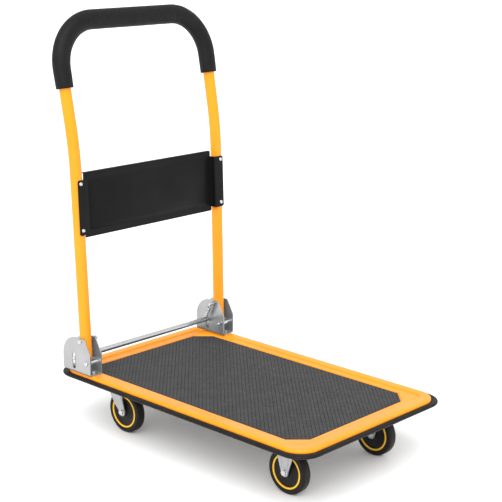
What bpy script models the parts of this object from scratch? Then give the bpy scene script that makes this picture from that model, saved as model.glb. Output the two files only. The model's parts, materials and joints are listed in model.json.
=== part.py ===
"""Folding platform cart: a pressed steel deck with a rubber mat and bumper, a fold-down
handle in two side brackets with a spring-loaded release rod, two swivel and two rigid casters.

Frame: X across the cart, Y along it with the handle at +Y, Z up, origin on the floor under
the middle of the deck. "left" and "right" are those of a person pushing it towards -Y.
"""

import math

import bmesh
import bpy
from mathutils import Matrix, Vector

MM = 0.001
GAP = 0.3 * MM
SIDES = (("left", 1), ("right", -1))

# Deck
DECK_LENGTH = 690 * MM
DECK_WIDTH = 429 * MM
DECK_CORNER = 44 * MM
SHEET = 2 * MM
RIM_TOP = 133 * MM
RIM_STEP = 3 * MM
RIM_STEP_INSET = 23 * MM
RIM_EDGE_RADIUS = 5 * MM
SKIRT_BOTTOM = 119.5 * MM
MAT_TOP = 129 * MM
MAT_THICK = 2 * MM
MAT_WIDTH = 348 * MM
MAT_LENGTH = 601 * MM
MAT_CHAMFER = 33 * MM
BUMPER_REACH = 11 * MM
BUMPER_RADIUS = 3.7 * MM
BUMPER_MIDDLE = 123 * MM
BUMPER_CORNER_GROWTH = 0.3

# Handle, measured from its pivot up along the leg
PIVOT_Y = 277 * MM
PIVOT_Z = 204 * MM
LEG_X = 201 * MM
LEG_SPLAY = math.radians(0.7)
TUBE_RADIUS = 12.5 * MM
TUBE_WALL = 1.6 * MM
STUB = 40 * MM
LOWER_LEAN = math.radians(2.5)
UPPER_LEAN = math.radians(11)
KNEE_START = 355.3 * MM
KNEE_RADIUS = 700 * MM
BAR_HEIGHT = 868 * MM
BAR_CORNER = 95 * MM
GRIP_RADIUS = 17.8 * MM
GRIP_LEG_LENGTH = 40.5 * MM
TUBE_SIDES = 12
CORNER_STEPS = 6

# Sign panel, heights along the leg
PANEL_LOW = 219.4 * MM
PANEL_HIGH = 357.4 * MM
PANEL_HALF_WIDTH = 187.8 * MM
PANEL_THICK = 1.5 * MM
PANEL_HEM = 8 * MM
TAB_LOW = 229 * MM
TAB_HIGH = 345 * MM
TAB_REACH = 212.5 * MM
TAB_CORNER = 4 * MM
EMBOSS_HALF_WIDTH = 170.2 * MM
EMBOSS_LOW = 237.2 * MM
EMBOSS_HIGH = 338.5 * MM
EMBOSS_CORNER = 8 * MM
EMBOSS_HEIGHT = 1.2 * MM
RIVET_HEIGHTS = (("lower", 239 * MM), ("upper", 337.5 * MM))
RIVET_RADIUS = 2.2 * MM
RIVET_HEAD = 4.2 * MM

# Brackets
BRACKET_SHEET = 2.5 * MM
BRACKET_GAP = 28 * MM
BRACKET_BASE = RIM_TOP + GAP
BRACKET_FRONT = 244.5 * MM
BRACKET_REAR = 333 * MM
BRACKET_ARC = 42.5 * MM
BRACKET_TOP = 211 * MM
BRACKET_FRONT_TOP = 178.5 * MM
BRACKET_SHOULDER = (264 * MM, 211 * MM)
OUTER_FACE = LEG_X + BRACKET_GAP / 2 + BRACKET_SHEET
INNER_FACE = LEG_X - BRACKET_GAP / 2 - BRACKET_SHEET
BASE_BOLT_Y = (("front", 254.5 * MM), ("rear", 310 * MM))
BASE_BOLT_RADIUS = 3 * MM

# Pins and release rod
PIVOT_PIN_RADIUS = 3.2 * MM
PIVOT_PIN_HEAD = 5.2 * MM
PIVOT_PIN_END = 169.8 * MM
STOP_Y = 257 * MM
STOP_Z = 159 * MM
STOP_PIN_RADIUS = 3 * MM
STOP_SLEEVE_RADIUS = 4.3 * MM
ROD_Y = 297.2 * MM
ROD_Z = 162.8 * MM
ROD_RADIUS = 6 * MM
ROD_END_RADIUS = 3.6 * MM
ROD_TRAVEL = 17 * MM
ROD_HALF_LENGTH = 218.6 * MM
SLOT_HALF_WIDTH = 4.8 * MM
SLOT_LOW = 139.6 * MM
SLOT_HIGH = 175 * MM
SPRING_X = 174.5 * MM
SPRING_RADIUS = 4.8 * MM

# Casters
WHEEL_RADIUS = 46.5 * MM
TYRE_HALF_WIDTH = 10.5 * MM
BAND_OUTER = 36 * MM
BAND_INNER = 31.2 * MM
AXLE_RADIUS = 4 * MM
FORK_SHEET = 2.5 * MM
FORK_HALF_GAP = 13 * MM
FRONT_CASTER_X = 134 * MM
FRONT_CASTER_Y = -245 * MM
REAR_CASTER_X = 142 * MM
REAR_CASTER_Y = 238.2 * MM
TRAIL = 24 * MM
FORK_TIP = 9 * MM
PLATE_TOP = 114.1 * MM
PLATE_THICK = 3 * MM
PLATE_SIZE = (60 * MM, 84 * MM)
FORK_TOP = 101.5 * MM
RACE_RADIUS = 21 * MM
KINGPIN_RADIUS = 5.5 * MM
RIB_DEPTH = 10 * MM

MATERIALS = {
    "orange_paint": ((1.0, 0.42, 0.04), 0.25, 0.0),
    "mat_rubber": ((0.08, 0.08, 0.085), 0.75, 0.0),
    "bumper_rubber": ((0.035, 0.035, 0.035), 0.6, 0.0),
    "grip_foam": ((0.025, 0.025, 0.025), 0.85, 0.0),
    "panel_black": ((0.02, 0.02, 0.022), 0.4, 0.0),
    "zinc": ((0.68, 0.68, 0.7), 0.3, 1.0),
    "spring_steel": ((0.5, 0.5, 0.52), 0.3, 1.0),
    "tyre_rubber": ((0.025, 0.022, 0.022), 0.55, 0.0),
    "hub_plastic": ((0.03, 0.03, 0.03), 0.45, 0.0),
    "band_yellow": ((1.0, 0.6, 0.05), 0.4, 0.0),
}


# Outlines and rings

def circle_arc(centre, radius, start, end, steps):
    """Points on an arc in a plane, from start to end degrees, both ends included."""
    points = []
    for i in range(steps + 1):
        angle = math.radians(start + (end - start) * i / steps)
        points.append((centre[0] + radius * math.cos(angle), centre[1] + radius * math.sin(angle)))
    return points


def rounded_ring(inset, height, corner_steps=6, radius=None):
    """The deck's outline, inset from its edge, with round corners."""
    half_x = DECK_WIDTH / 2 - inset
    half_y = DECK_LENGTH / 2 - inset
    radius = radius or DECK_CORNER - inset
    points = []
    for quarter, (sx, sy) in enumerate(((1, 1), (-1, 1), (-1, -1), (1, -1))):
        centre = (sx * (half_x - radius), sy * (half_y - radius))
        start = 90 * quarter
        points += circle_arc(centre, radius, start, start + 90, corner_steps)
    return [Vector((x, y, height)) for x, y in points]


def chamfered_ring(outset, height, corner_steps=6):
    """The mat's outline, grown by outset: straight sides and cut corners."""
    half_x = MAT_WIDTH / 2 + outset
    half_y = MAT_LENGTH / 2 + outset
    points = []
    for quarter, (sx, sy) in enumerate(((1, 1), (-1, 1), (-1, -1), (1, -1))):
        side_end = (sx * half_x, sy * (half_y - MAT_CHAMFER))
        front_end = (sx * (half_x - MAT_CHAMFER), sy * half_y)
        first, last = (side_end, front_end) if quarter % 2 == 0 else (front_end, side_end)
        for i in range(corner_steps + 1):
            t = i / corner_steps
            points.append((first[0] * (1 - t) + last[0] * t, first[1] * (1 - t) + last[1] * t))
    return [Vector((x, y, height)) for x, y in points]


def hex_ring(centre, axis, across, segments=12):
    """A hexagon of that width across flats, sampled at its corners and between them."""
    points = []
    for i in range(segments):
        angle = 2 * math.pi * i / segments
        off_flat = (angle % (math.pi / 3)) - math.pi / 6
        points.append(on_circle(centre, axis, across / 2 / math.cos(off_flat), angle))
    return points


def on_circle(centre, axis, radius, angle):
    """A point round an X or Z axis. Angle 0 is straight down for X, so wheels rest on a vertex."""
    side, up = math.sin(angle) * radius, -math.cos(angle) * radius
    offset = (0, side, up) if axis == "X" else (side, up, 0)
    return Vector(centre) + Vector(offset)


# Meshes

def loft(rings, closed=False):
    """A closed skin over rings with equal point counts, with fans for caps unless it closes."""
    bm = bmesh.new()
    rows = [[bm.verts.new(p) for p in ring] for ring in rings]
    count = len(rows[0])
    pairs = list(zip(rows, rows[1:]))
    if closed:
        pairs.append((rows[-1], rows[0]))
    for low, high in pairs:
        for i in range(count):
            j = (i + 1) % count
            bm.faces.new((low[i], low[j], high[j], high[i]))
    if not closed:
        for row in (rows[0], rows[-1]):
            middle = bm.verts.new(sum((v.co for v in row), Vector()) / count)
            for i in range(count):
                bm.faces.new((row[i], row[(i + 1) % count], middle))
    bmesh.ops.recalc_face_normals(bm, faces=bm.faces)
    return bm


def turned(profile, centre, axis, segments, hollow=False):
    """A solid turned about an X or Z axis through centre, from (along, radius) points.
    A hollow profile is a closed loop that stays off the axis."""
    direction = Vector((1, 0, 0)) if axis == "X" else Vector((0, 0, 1))
    rings = []
    for along, radius in profile:
        middle = Vector(centre) + direction * along
        ring = [on_circle(middle, axis, radius, 2 * math.pi * i / segments) for i in range(segments)]
        rings.append(ring)
    return loft(rings, closed=hollow)


def prism(outline, axis, low, high):
    """An outline in the plane across an X, Y or Z axis, extruded from low to high."""
    bm = bmesh.new()
    order = {"X": lambda a, u, v: (a, u, v), "Y": lambda a, u, v: (u, a, v), "Z": lambda a, u, v: (u, v, a)}
    place = order[axis]
    ends = [[bm.verts.new(place(a, u, v)) for u, v in outline] for a in (low, high)]
    bm.faces.new(ends[0])
    bm.faces.new(ends[1])
    for i in range(len(outline)):
        j = (i + 1) % len(outline)
        bm.faces.new((ends[0][i], ends[0][j], ends[1][j], ends[1][i]))
    bmesh.ops.recalc_face_normals(bm, faces=bm.faces)
    return bm


def box_outline(x0, x1, y0, y1):
    return [(x0, y0), (x1, y0), (x1, y1), (x0, y1)]


def rounded_outline(x0, x1, y0, y1, radius, steps=3):
    points = []
    corners = ((x1, y1, 0), (x0, y1, 90), (x0, y0, 180), (x1, y0, 270))
    for x, y, start in corners:
        centre = (x - radius if x == x1 else x + radius, y - radius if y == y1 else y + radius)
        points += circle_arc(centre, radius, start, start + 90, steps)
    return points


def swept_rings(path, radius, sides):
    """Circles square to a path, turned as little as possible from one to the next."""
    rings = []
    normal = Vector((0, 1, 0))
    for i, point in enumerate(path):
        before = path[max(i - 1, 0)]
        after = path[min(i + 1, len(path) - 1)]
        tangent = (after - before).normalized()
        normal = (normal - tangent * normal.dot(tangent)).normalized()
        across = tangent.cross(normal)
        ring = []
        for k in range(sides):
            angle = 2 * math.pi * k / sides
            ring.append(point + (normal * math.cos(angle) + across * math.sin(angle)) * radius)
        rings.append(ring)
    return rings


def pipe(path, outer, inner, sides):
    """A tube with an open bore along a path."""
    rings = swept_rings(path, outer, sides) + swept_rings(path, inner, sides)[::-1]
    return loft(rings, closed=True)


# Objects

def make_material(name):
    colour, roughness, metallic = MATERIALS[name]
    material = bpy.data.materials.new(name)
    material.use_nodes = True
    shader = material.node_tree.nodes["Principled BSDF"]
    shader.inputs["Base Color"].default_value = (*colour, 1)
    shader.inputs["Roughness"].default_value = roughness
    shader.inputs["Metallic"].default_value = metallic
    return material


def pivot(name, location, parent=None):
    """An empty on a joint's axis. Pieces that move about it are its children."""
    empty = bpy.data.objects.new(name, None)
    empty.empty_display_size = 0.03
    bpy.context.collection.objects.link(empty)
    here = Vector(location)
    if parent is not None:
        empty.parent = parent
        here = here - world_place(parent)
    empty.location = here
    return empty


def world_place(obj):
    """Where an object stands, with nothing on it turned."""
    place = Vector(obj.location)
    while obj.parent is not None:
        obj = obj.parent
        place += obj.location
    return place


def piece(name, bm, material, parent=None):
    """A named sub-part from a mesh built in world coordinates."""
    mesh = bpy.data.meshes.new(name)
    if parent is not None:
        bmesh.ops.translate(bm, verts=bm.verts, vec=-world_place(parent))
    bm.to_mesh(mesh)
    bm.free()
    obj = bpy.data.objects.new(name, mesh)
    bpy.context.collection.objects.link(obj)
    obj.parent = parent
    if material is not None:
        mesh.materials.append(bpy.data.materials.get(material) or make_material(material))
    mesh.shade_smooth()
    mesh.set_sharp_from_angle(angle=math.radians(35))
    return obj


def cutter(name, bm):
    """A hidden shape that other pieces are cut with or joined to."""
    obj = piece(name, bm, None)
    obj.hide_render = True
    obj.display_type = "WIRE"
    return obj


def combine(obj, tool, operation="DIFFERENCE"):
    modifier = obj.modifiers.new(tool.name, "BOOLEAN")
    modifier.object = tool
    modifier.operation = operation
    modifier.solver = "EXACT"


def drill(name, centre, axis, radius, length, segments=16):
    """A cutter for a round hole whose middle is at centre."""
    half = length / 2
    return cutter(name, turned(((-half, radius), (half, radius)), centre, axis, segments))


# Deck

def deck_profile(thickness):
    """(ring, inset, height) of the deck's skin, from the skirt's lower edge to the recess for
    the mat. thickness 0 is the outer skin, and SHEET the inner one."""
    edge = RIM_EDGE_RADIUS - thickness
    steps = 3
    skin = [(rounded_ring, thickness, SKIRT_BOTTOM)]
    for i in range(steps + 1):
        angle = math.pi / 2 * i / steps
        inset = RIM_EDGE_RADIUS - edge * math.cos(angle)
        skin.append((rounded_ring, inset, RIM_TOP - RIM_EDGE_RADIUS + edge * math.sin(angle)))
    inner_rim = RIM_TOP - RIM_STEP - thickness
    recess = MAT_TOP - MAT_THICK - GAP - thickness
    slope = 3 * MM
    shift = 1.2 * MM if thickness else 0
    skin += [
        (rounded_ring, RIM_STEP_INSET - shift, RIM_TOP - thickness),
        (rounded_ring, RIM_STEP_INSET + 2 * MM - shift, inner_rim),
        (rounded_ring, RIM_STEP_INSET + 9 * MM, inner_rim),
        (chamfered_ring, GAP + slope + shift, inner_rim),
        (chamfered_ring, GAP + shift, recess),
    ]
    return skin


def build_deck():
    outer = [ring(inset, height) for ring, inset, height in deck_profile(0)]
    inner = [ring(inset, height) for ring, inset, height in deck_profile(SHEET)]
    deck = piece("deck_pan", loft(inner[::-1] + outer), "orange_paint")
    for side, sign in SIDES:
        for place, y in BASE_BOLT_Y:
            hole = drill(f"cut_deck_{place}_{side}", (sign * LEG_X, y, RIM_TOP), "Z",
                         BASE_BOLT_RADIUS + GAP, 20 * MM, 12)
            combine(deck, hole)
            combine(bpy.data.objects[f"bracket_{side}"], hole)
    mat_edge = 0.5 * MM
    mat_rings = [
        chamfered_ring(0, MAT_TOP - MAT_THICK, 1),
        chamfered_ring(0, MAT_TOP - mat_edge, 1),
        chamfered_ring(-mat_edge, MAT_TOP, 1),
    ]
    piece("deck_mat", loft(mat_rings), "mat_rubber")


def build_bumper():
    """A D-section rubber strip all round the deck, thicker round the corners."""
    middle = BUMPER_REACH - BUMPER_RADIUS
    section = [(GAP, BUMPER_MIDDLE + BUMPER_RADIUS)]
    section += circle_arc((middle, BUMPER_MIDDLE), BUMPER_RADIUS, 90, -90, 6)
    section.append((GAP, BUMPER_MIDDLE - BUMPER_RADIUS))
    rings = []
    for reach, height in section:
        corner = DECK_CORNER + reach * BUMPER_CORNER_GROWTH
        rings.append(rounded_ring(-reach, height, radius=corner))
    piece("bumper", loft(rings, closed=True), "bumper_rubber")


def hat_section(half_width, top):
    """A hat-shaped rib's section: flanges up against the deck, its web RIB_DEPTH below."""
    flange = 14 * MM
    wall = 1.6 * MM
    low = top - RIB_DEPTH
    right_side = [
        (half_width, top),
        (half_width - flange + wall, top),
        (half_width - flange + wall, low + wall),
    ]
    outside = [
        (half_width, top - wall),
        (half_width - flange + 2 * wall, top - wall),
        (half_width - flange + 2 * wall, low),
    ]
    left_side = [(-x, z) for x, z in right_side[::-1]]
    outside_left = [(-x, z) for x, z in outside]
    return right_side + left_side + outside_left + outside[::-1]


def build_ribs():
    top = MAT_TOP - MAT_THICK - SHEET - 2 * GAP
    half_width = 42 * MM
    for place, y in (("front", FRONT_CASTER_Y), ("rear", REAR_CASTER_Y)):
        section = [(y + u, z) for u, z in hat_section(half_width, top)]
        reach = (PLATE_SIZE[0] / 2 + REAR_CASTER_X)
        piece(f"rib_{place}", prism(section, "X", -reach, reach), "orange_paint")
    clearance = half_width + 1 * MM
    piece("rib_centre", prism(hat_section(half_width, top), "Y", FRONT_CASTER_Y + clearance,
                              REAR_CASTER_Y - clearance), "orange_paint")


# Brackets, pins and release rod

def cheek_outline():
    """A bracket's side: upright front edge, slant, shoulder and round back."""
    centre = (BRACKET_REAR - BRACKET_ARC, BRACKET_TOP - BRACKET_ARC)
    outline = [(BRACKET_REAR, BRACKET_BASE)]
    outline += circle_arc(centre, BRACKET_ARC, 0, 90, 8)
    outline += [BRACKET_SHOULDER, (BRACKET_FRONT, BRACKET_FRONT_TOP), (BRACKET_FRONT, BRACKET_BASE)]
    return outline


def slot_outline(low, high, radius):
    """A round-ended upright slot round the release rod's path."""
    return circle_arc((ROD_Y, low), radius, 180, 360, 4) + circle_arc((ROD_Y, high), radius, 0, 180, 4)


def build_brackets():
    for side, sign in SIDES:
        low, high = sorted((sign * INNER_FACE, sign * OUTER_FACE))
        bracket = piece(f"bracket_{side}", prism(cheek_outline(), "X", low, high), "zinc")
        inside = box_outline(BRACKET_FRONT - 10 * MM, BRACKET_REAR + 10 * MM,
                             BRACKET_BASE + BRACKET_SHEET, BRACKET_TOP + 10 * MM)
        channel = cutter(f"cut_channel_{side}",
                         prism(inside, "X", low + BRACKET_SHEET, high - BRACKET_SHEET))
        combine(bracket, channel)
        middle = sign * LEG_X
        width = BRACKET_GAP + 6 * BRACKET_SHEET
        combine(bracket, drill(f"cut_pivot_{side}", (middle, PIVOT_Y, PIVOT_Z), "X",
                               PIVOT_PIN_RADIUS + GAP, width))
        combine(bracket, drill(f"cut_stop_{side}", (middle, STOP_Y, STOP_Z), "X",
                               STOP_PIN_RADIUS + GAP, width))
        slot = slot_outline(SLOT_LOW + SLOT_HALF_WIDTH, SLOT_HIGH - SLOT_HALF_WIDTH, SLOT_HALF_WIDTH)
        combine(bracket, cutter(f"cut_slot_{side}",
                                prism(slot, "X", middle - width / 2, middle + width / 2)))


def headed_pin(sign, y, z, radius, head, inner_end):
    """A domed pin along X: head outside the outer cheek, plain end at inner_end."""
    face = OUTER_FACE + GAP
    profile = [
        (inner_end, radius - 0.5 * MM),
        (inner_end + 0.5 * MM, radius),
        (face, radius),
        (face, head),
        (face + 1 * MM, head),
        (face + 2.2 * MM, head * 0.75),
        (face + 2.8 * MM, head * 0.35),
    ]
    return turned([(sign * along, r) for along, r in profile], (0, y, z), "X", 12)


def nut(sign, y, z, bore, across, outer_end, thickness):
    """A hexagon nut on an X pin, its outer face at outer_end."""
    chamfer = 0.6 * MM
    rings = []
    stations = (
        (outer_end, across),
        (outer_end - thickness + chamfer, across),
        (outer_end - thickness, across - 1.5 * MM),
    )
    for along, size in stations:
        rings.append(hex_ring((sign * along, y, z), "X", size))
    for along in (outer_end - thickness, outer_end):
        ring = [on_circle((sign * along, y, z), "X", bore, 2 * math.pi * i / 12) for i in range(12)]
        rings.append(ring)
    return loft(rings, closed=True)


def build_pins():
    for side, sign in SIDES:
        pin = headed_pin(sign, PIVOT_Y, PIVOT_Z, PIVOT_PIN_RADIUS, PIVOT_PIN_HEAD, PIVOT_PIN_END)
        piece(f"pivot_pin_{side}", pin, "zinc")
        piece(f"pivot_nut_{side}", nut(sign, PIVOT_Y, PIVOT_Z, PIVOT_PIN_RADIUS + GAP, 11 * MM,
                                       INNER_FACE - GAP, 5 * MM), "zinc")
        stop_end = INNER_FACE - 7 * MM
        pin = headed_pin(sign, STOP_Y, STOP_Z, STOP_PIN_RADIUS, 5.5 * MM, stop_end)
        piece(f"stop_pin_{side}", pin, "zinc")
        piece(f"stop_nut_{side}", nut(sign, STOP_Y, STOP_Z, STOP_PIN_RADIUS + GAP, 9.5 * MM,
                                      INNER_FACE - GAP, 4.5 * MM), "zinc")
        reach = BRACKET_GAP / 2 - GAP
        bore = STOP_PIN_RADIUS + GAP
        sleeve = ((-reach, bore), (-reach, STOP_SLEEVE_RADIUS), (reach, STOP_SLEEVE_RADIUS), (reach, bore))
        piece(f"stop_sleeve_{side}", turned(sleeve, (sign * LEG_X, STOP_Y, STOP_Z), "X", 16,
                                            hollow=True), "zinc")


def build_base_bolts():
    """Hexagon bolts through bracket and deck, each made in one with its nut."""
    seat = BRACKET_BASE + BRACKET_SHEET + GAP
    under = RIM_TOP - SHEET - GAP
    for side, sign in SIDES:
        for place, y in BASE_BOLT_Y:
            x = sign * LEG_X
            head = 10 * MM
            shank = BASE_BOLT_RADIUS
            heights = (
                (under - 6.5 * MM, None),
                (under - 4.5 * MM, None),
                (under - 4.5 * MM, head),
                (under, head),
                (under, None),
                (seat, None),
                (seat, head),
                (seat + 4 * MM, head),
                (seat + 4.6 * MM, head - 1.5 * MM),
            )
            rings = []
            for z, across in heights:
                if across is None:
                    ring = [on_circle((x, y, z), "Z", shank, 2 * math.pi * i / 12) for i in range(12)]
                else:
                    ring = hex_ring((x, y, z), "Z", across)
                rings.append(ring)
            piece(f"base_bolt_{place}_{side}", loft(rings), "zinc")


def build_release_rod():
    """A rod held between the brackets by its shoulders, its thinner ends in their slots."""
    slide = pivot("release_slide", (0, ROD_Y, ROD_Z))
    shoulder = INNER_FACE - 0.8 * MM
    half = [
        (shoulder - 0.8 * MM, ROD_RADIUS),
        (shoulder, ROD_RADIUS - 0.8 * MM),
        (shoulder, ROD_END_RADIUS),
        (ROD_HALF_LENGTH - 0.6 * MM, ROD_END_RADIUS),
        (ROD_HALF_LENGTH, ROD_END_RADIUS - 0.6 * MM),
    ]
    profile = [(-along, radius) for along, radius in half[::-1]] + half
    piece("release_rod", turned(profile, (0, ROD_Y, ROD_Z), "X", 16), "zinc", slide)


def build_springs():
    """Return springs between pivot pins and release rod, each as its outer shape."""
    top = Vector((0, PIVOT_Y, PIVOT_Z))
    bottom = Vector((0, ROD_Y, ROD_Z))
    line = (bottom - top).normalized()
    start = top + line * 7.2 * MM
    end = bottom - line * (ROD_RADIUS + 0.6 * MM)
    for side, sign in SIDES:
        shift = Vector((sign * SPRING_X, 0, 0))
        rings = swept_rings([start + shift, end + shift], SPRING_RADIUS, 12)
        piece(f"spring_{side}", loft(rings), "spring_steel")


# Handle

def leg_place(along, out=0.0, x=0.0):
    """A point on a leg's centre line, that far up from the pivot, and out to its front."""
    knee_length = KNEE_RADIUS * (UPPER_LEAN - LOWER_LEAN)
    low = min(along, KNEE_START)
    y = PIVOT_Y + low * math.sin(LOWER_LEAN)
    z = PIVOT_Z + low * math.cos(LOWER_LEAN)
    lean = LOWER_LEAN
    if along > KNEE_START:
        lean += min(along - KNEE_START, knee_length) / KNEE_RADIUS
        y += KNEE_RADIUS * (math.cos(LOWER_LEAN) - math.cos(lean))
        z += KNEE_RADIUS * (math.sin(lean) - math.sin(LOWER_LEAN))
    if along > KNEE_START + knee_length:
        rest = along - KNEE_START - knee_length
        y += rest * math.sin(lean)
        z += rest * math.cos(lean)
    return Vector((x, y - out * math.cos(lean), z + out * math.sin(lean)))


def leg_x(along):
    """How far out a leg's centre line is at that height. The legs spread a little upwards."""
    return LEG_X + along * math.tan(LEG_SPLAY)


def bar_distance():
    """How far up the leg the top bar's centre line is."""
    knee_length = KNEE_RADIUS * (UPPER_LEAN - LOWER_LEAN)
    knee_end = KNEE_START + knee_length
    return knee_end + (BAR_HEIGHT - leg_place(knee_end).z) / math.cos(UPPER_LEAN)


def handle_path(first, knee_steps, corner_steps):
    """The handle's centre line, from that height on the left leg over the bar to the right."""
    bar = bar_distance()
    half = [(leg_x(first), first)]
    if first < KNEE_START:
        knee_length = KNEE_RADIUS * (UPPER_LEAN - LOWER_LEAN)
        knee = [KNEE_START + knee_length * i / knee_steps for i in range(knee_steps + 1)]
        half += [(leg_x(along), along) for along in knee]
    for i in range(corner_steps + 1):
        angle = math.pi / 2 * i / corner_steps
        x = leg_x(bar - BAR_CORNER) - BAR_CORNER * (1 - math.cos(angle))
        half.append((x, bar - BAR_CORNER * (1 - math.sin(angle))))
    return [leg_place(along, 0, x) for x, along in half + [(-x, along) for x, along in half[::-1]]]


def panel_frame():
    """Turns (across, up the leg, out to the front) into world places."""
    lean_back = Matrix.Rotation(-LOWER_LEAN, 4, "X")
    upright = Matrix(((1, 0, 0, 0), (0, 0, -1, 0), (0, 1, 0, 0), (0, 0, 0, 1)))
    return Matrix.Translation((0, PIVOT_Y, PIVOT_Z)) @ lean_back @ upright


def panel_prism(outline, low, high):
    bm = prism(outline, "Z", low, high)
    bmesh.ops.transform(bm, matrix=panel_frame(), verts=bm.verts)
    return bm


def tab_outline(sign, start):
    """A tab's front, from the panel's side wall out over the leg, its far corners round."""
    reach = TAB_REACH - TAB_CORNER
    half = [(start, TAB_LOW)]
    half += circle_arc((reach, TAB_LOW + TAB_CORNER), TAB_CORNER, -90, 0, 3)
    half += circle_arc((reach, TAB_HIGH - TAB_CORNER), TAB_CORNER, 0, 90, 3)
    half.append((start, TAB_HIGH))
    return [(sign * x, y) for x, y in half]


def build_sign_panel(fold):
    """A plate between the legs, its sides folded forward and out into tabs over them."""
    front = 0.0
    back = -PANEL_THICK
    plate = box_outline(-PANEL_HALF_WIDTH, PANEL_HALF_WIDTH, PANEL_LOW, PANEL_HIGH)
    panel = piece("sign_panel", panel_prism(plate, back, front), "panel_black", fold)
    inside = 0.1 * MM
    tab_back = TUBE_RADIUS + GAP
    wall_out = PANEL_HALF_WIDTH - inside
    wall_in = wall_out - PANEL_THICK
    for side, sign in SIDES:
        wall = box_outline(sign * wall_in, sign * wall_out, TAB_LOW + inside, TAB_HIGH - inside)
        tool = cutter(f"join_wall_{side}",
                      panel_prism(wall, back + PANEL_THICK / 2, tab_back + PANEL_THICK / 2))
        combine(panel, tool, "UNION")
        tab = tab_outline(sign, wall_in - inside)
        combine(panel, cutter(f"join_tab_{side}", panel_prism(tab, tab_back, tab_back + PANEL_THICK)), "UNION")
    hem_half = PANEL_HALF_WIDTH - 3 * MM
    for edge, y0, y1 in (("low", PANEL_LOW, PANEL_LOW + PANEL_THICK),
                         ("high", PANEL_HIGH - PANEL_THICK, PANEL_HIGH)):
        hem = box_outline(-hem_half, hem_half, y0 + inside, y1 - inside)
        tool = cutter(f"join_hem_{edge}", panel_prism(hem, front - PANEL_HEM, back + PANEL_THICK / 2))
        combine(panel, tool, "UNION")
    raised = rounded_outline(-EMBOSS_HALF_WIDTH, EMBOSS_HALF_WIDTH, EMBOSS_LOW, EMBOSS_HIGH, EMBOSS_CORNER)
    tool = cutter("join_emboss", panel_prism(raised, back + PANEL_THICK / 2, front + EMBOSS_HEIGHT))
    combine(panel, tool, "UNION")
    return panel


def build_rivets(fold, panel, tube):
    """Domed rivets through the panel's tabs into the legs."""
    face = TUBE_RADIUS + 2 * GAP + PANEL_THICK
    inner_end = TUBE_RADIUS - TUBE_WALL - 1.5 * MM
    profile = (
        (inner_end, RIVET_RADIUS),
        (face, RIVET_RADIUS),
        (face, RIVET_HEAD),
        (face + 0.9 * MM, RIVET_HEAD * 0.88),
        (face + 1.8 * MM, RIVET_HEAD * 0.45),
    )
    hole_radius = RIVET_RADIUS + GAP
    hole_profile = ((inner_end, hole_radius), (face + 3 * MM, hole_radius))
    for side, sign in SIDES:
        for place, along in RIVET_HEIGHTS:
            matrix = panel_frame() @ Matrix.Translation((sign * leg_x(along), along, 0))
            rivet = turned(profile, (0, 0, 0), "Z", 12)
            bmesh.ops.transform(rivet, matrix=matrix, verts=rivet.verts)
            piece(f"rivet_{place}_{side}", rivet, "zinc", fold)
            hole = turned(hole_profile, (0, 0, 0), "Z", 12)
            bmesh.ops.transform(hole, matrix=matrix, verts=hole.verts)
            tool = cutter(f"cut_rivet_{place}_{side}", hole)
            combine(panel, tool)
            combine(tube, tool)


def build_handle():
    fold = pivot("handle_pivot", (0, PIVOT_Y, PIVOT_Z))
    path = handle_path(-STUB, 3, CORNER_STEPS)
    tube = piece("handle_tube", pipe(path, TUBE_RADIUS, TUBE_RADIUS - TUBE_WALL, TUBE_SIDES), "orange_paint", fold)
    for side, sign in SIDES:
        combine(tube, drill(f"cut_leg_{side}", (sign * LEG_X, PIVOT_Y, PIVOT_Z), "X",
                            PIVOT_PIN_RADIUS + GAP, 3 * TUBE_RADIUS))
    grip_start = bar_distance() - BAR_CORNER - GRIP_LEG_LENGTH
    grip_path = handle_path(grip_start, 0, CORNER_STEPS)
    piece("grip", pipe(grip_path, GRIP_RADIUS, TUBE_RADIUS + GAP, TUBE_SIDES), "grip_foam", fold)
    panel = build_sign_panel(fold)
    build_rivets(fold, panel, tube)


# Casters

def build_wheel(name, centre, spin):
    """Hub, coloured band and tyre, one inside the other, free to turn on the axle."""
    bore = AXLE_RADIUS + GAP
    boss = FORK_HALF_GAP - 0.5 * MM
    hub_half = [
        (TYRE_HALF_WIDTH - 1.5 * MM, BAND_INNER - GAP),
        (TYRE_HALF_WIDTH - 2.5 * MM, BAND_INNER - 3 * MM),
        (TYRE_HALF_WIDTH - 2.5 * MM, 10 * MM),
        (boss, 8.5 * MM),
        (boss, bore),
    ]
    band_half = [
        (TYRE_HALF_WIDTH - 1 * MM, BAND_OUTER),
        (TYRE_HALF_WIDTH - 0.2 * MM, (BAND_OUTER + BAND_INNER) / 2),
        (TYRE_HALF_WIDTH - 1 * MM, BAND_INNER),
    ]
    tyre_half = [
        (TYRE_HALF_WIDTH, BAND_OUTER + GAP),
        (TYRE_HALF_WIDTH, WHEEL_RADIUS - 3.5 * MM),
        (TYRE_HALF_WIDTH - 1 * MM, WHEEL_RADIUS - 1 * MM),
        (TYRE_HALF_WIDTH - 3.2 * MM, WHEEL_RADIUS),
    ]
    layers = (
        ("hub", hub_half, 24, "hub_plastic"),
        ("band", band_half, 24, "band_yellow"),
        ("tyre", tyre_half, 28, "tyre_rubber"),
    )
    for layer, half, segments, material in layers:
        profile = half + [(-along, radius) for along, radius in half[::-1]]
        piece(f"{layer}_{name}", turned(profile, centre, "X", segments, hollow=True), material, spin)


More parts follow.
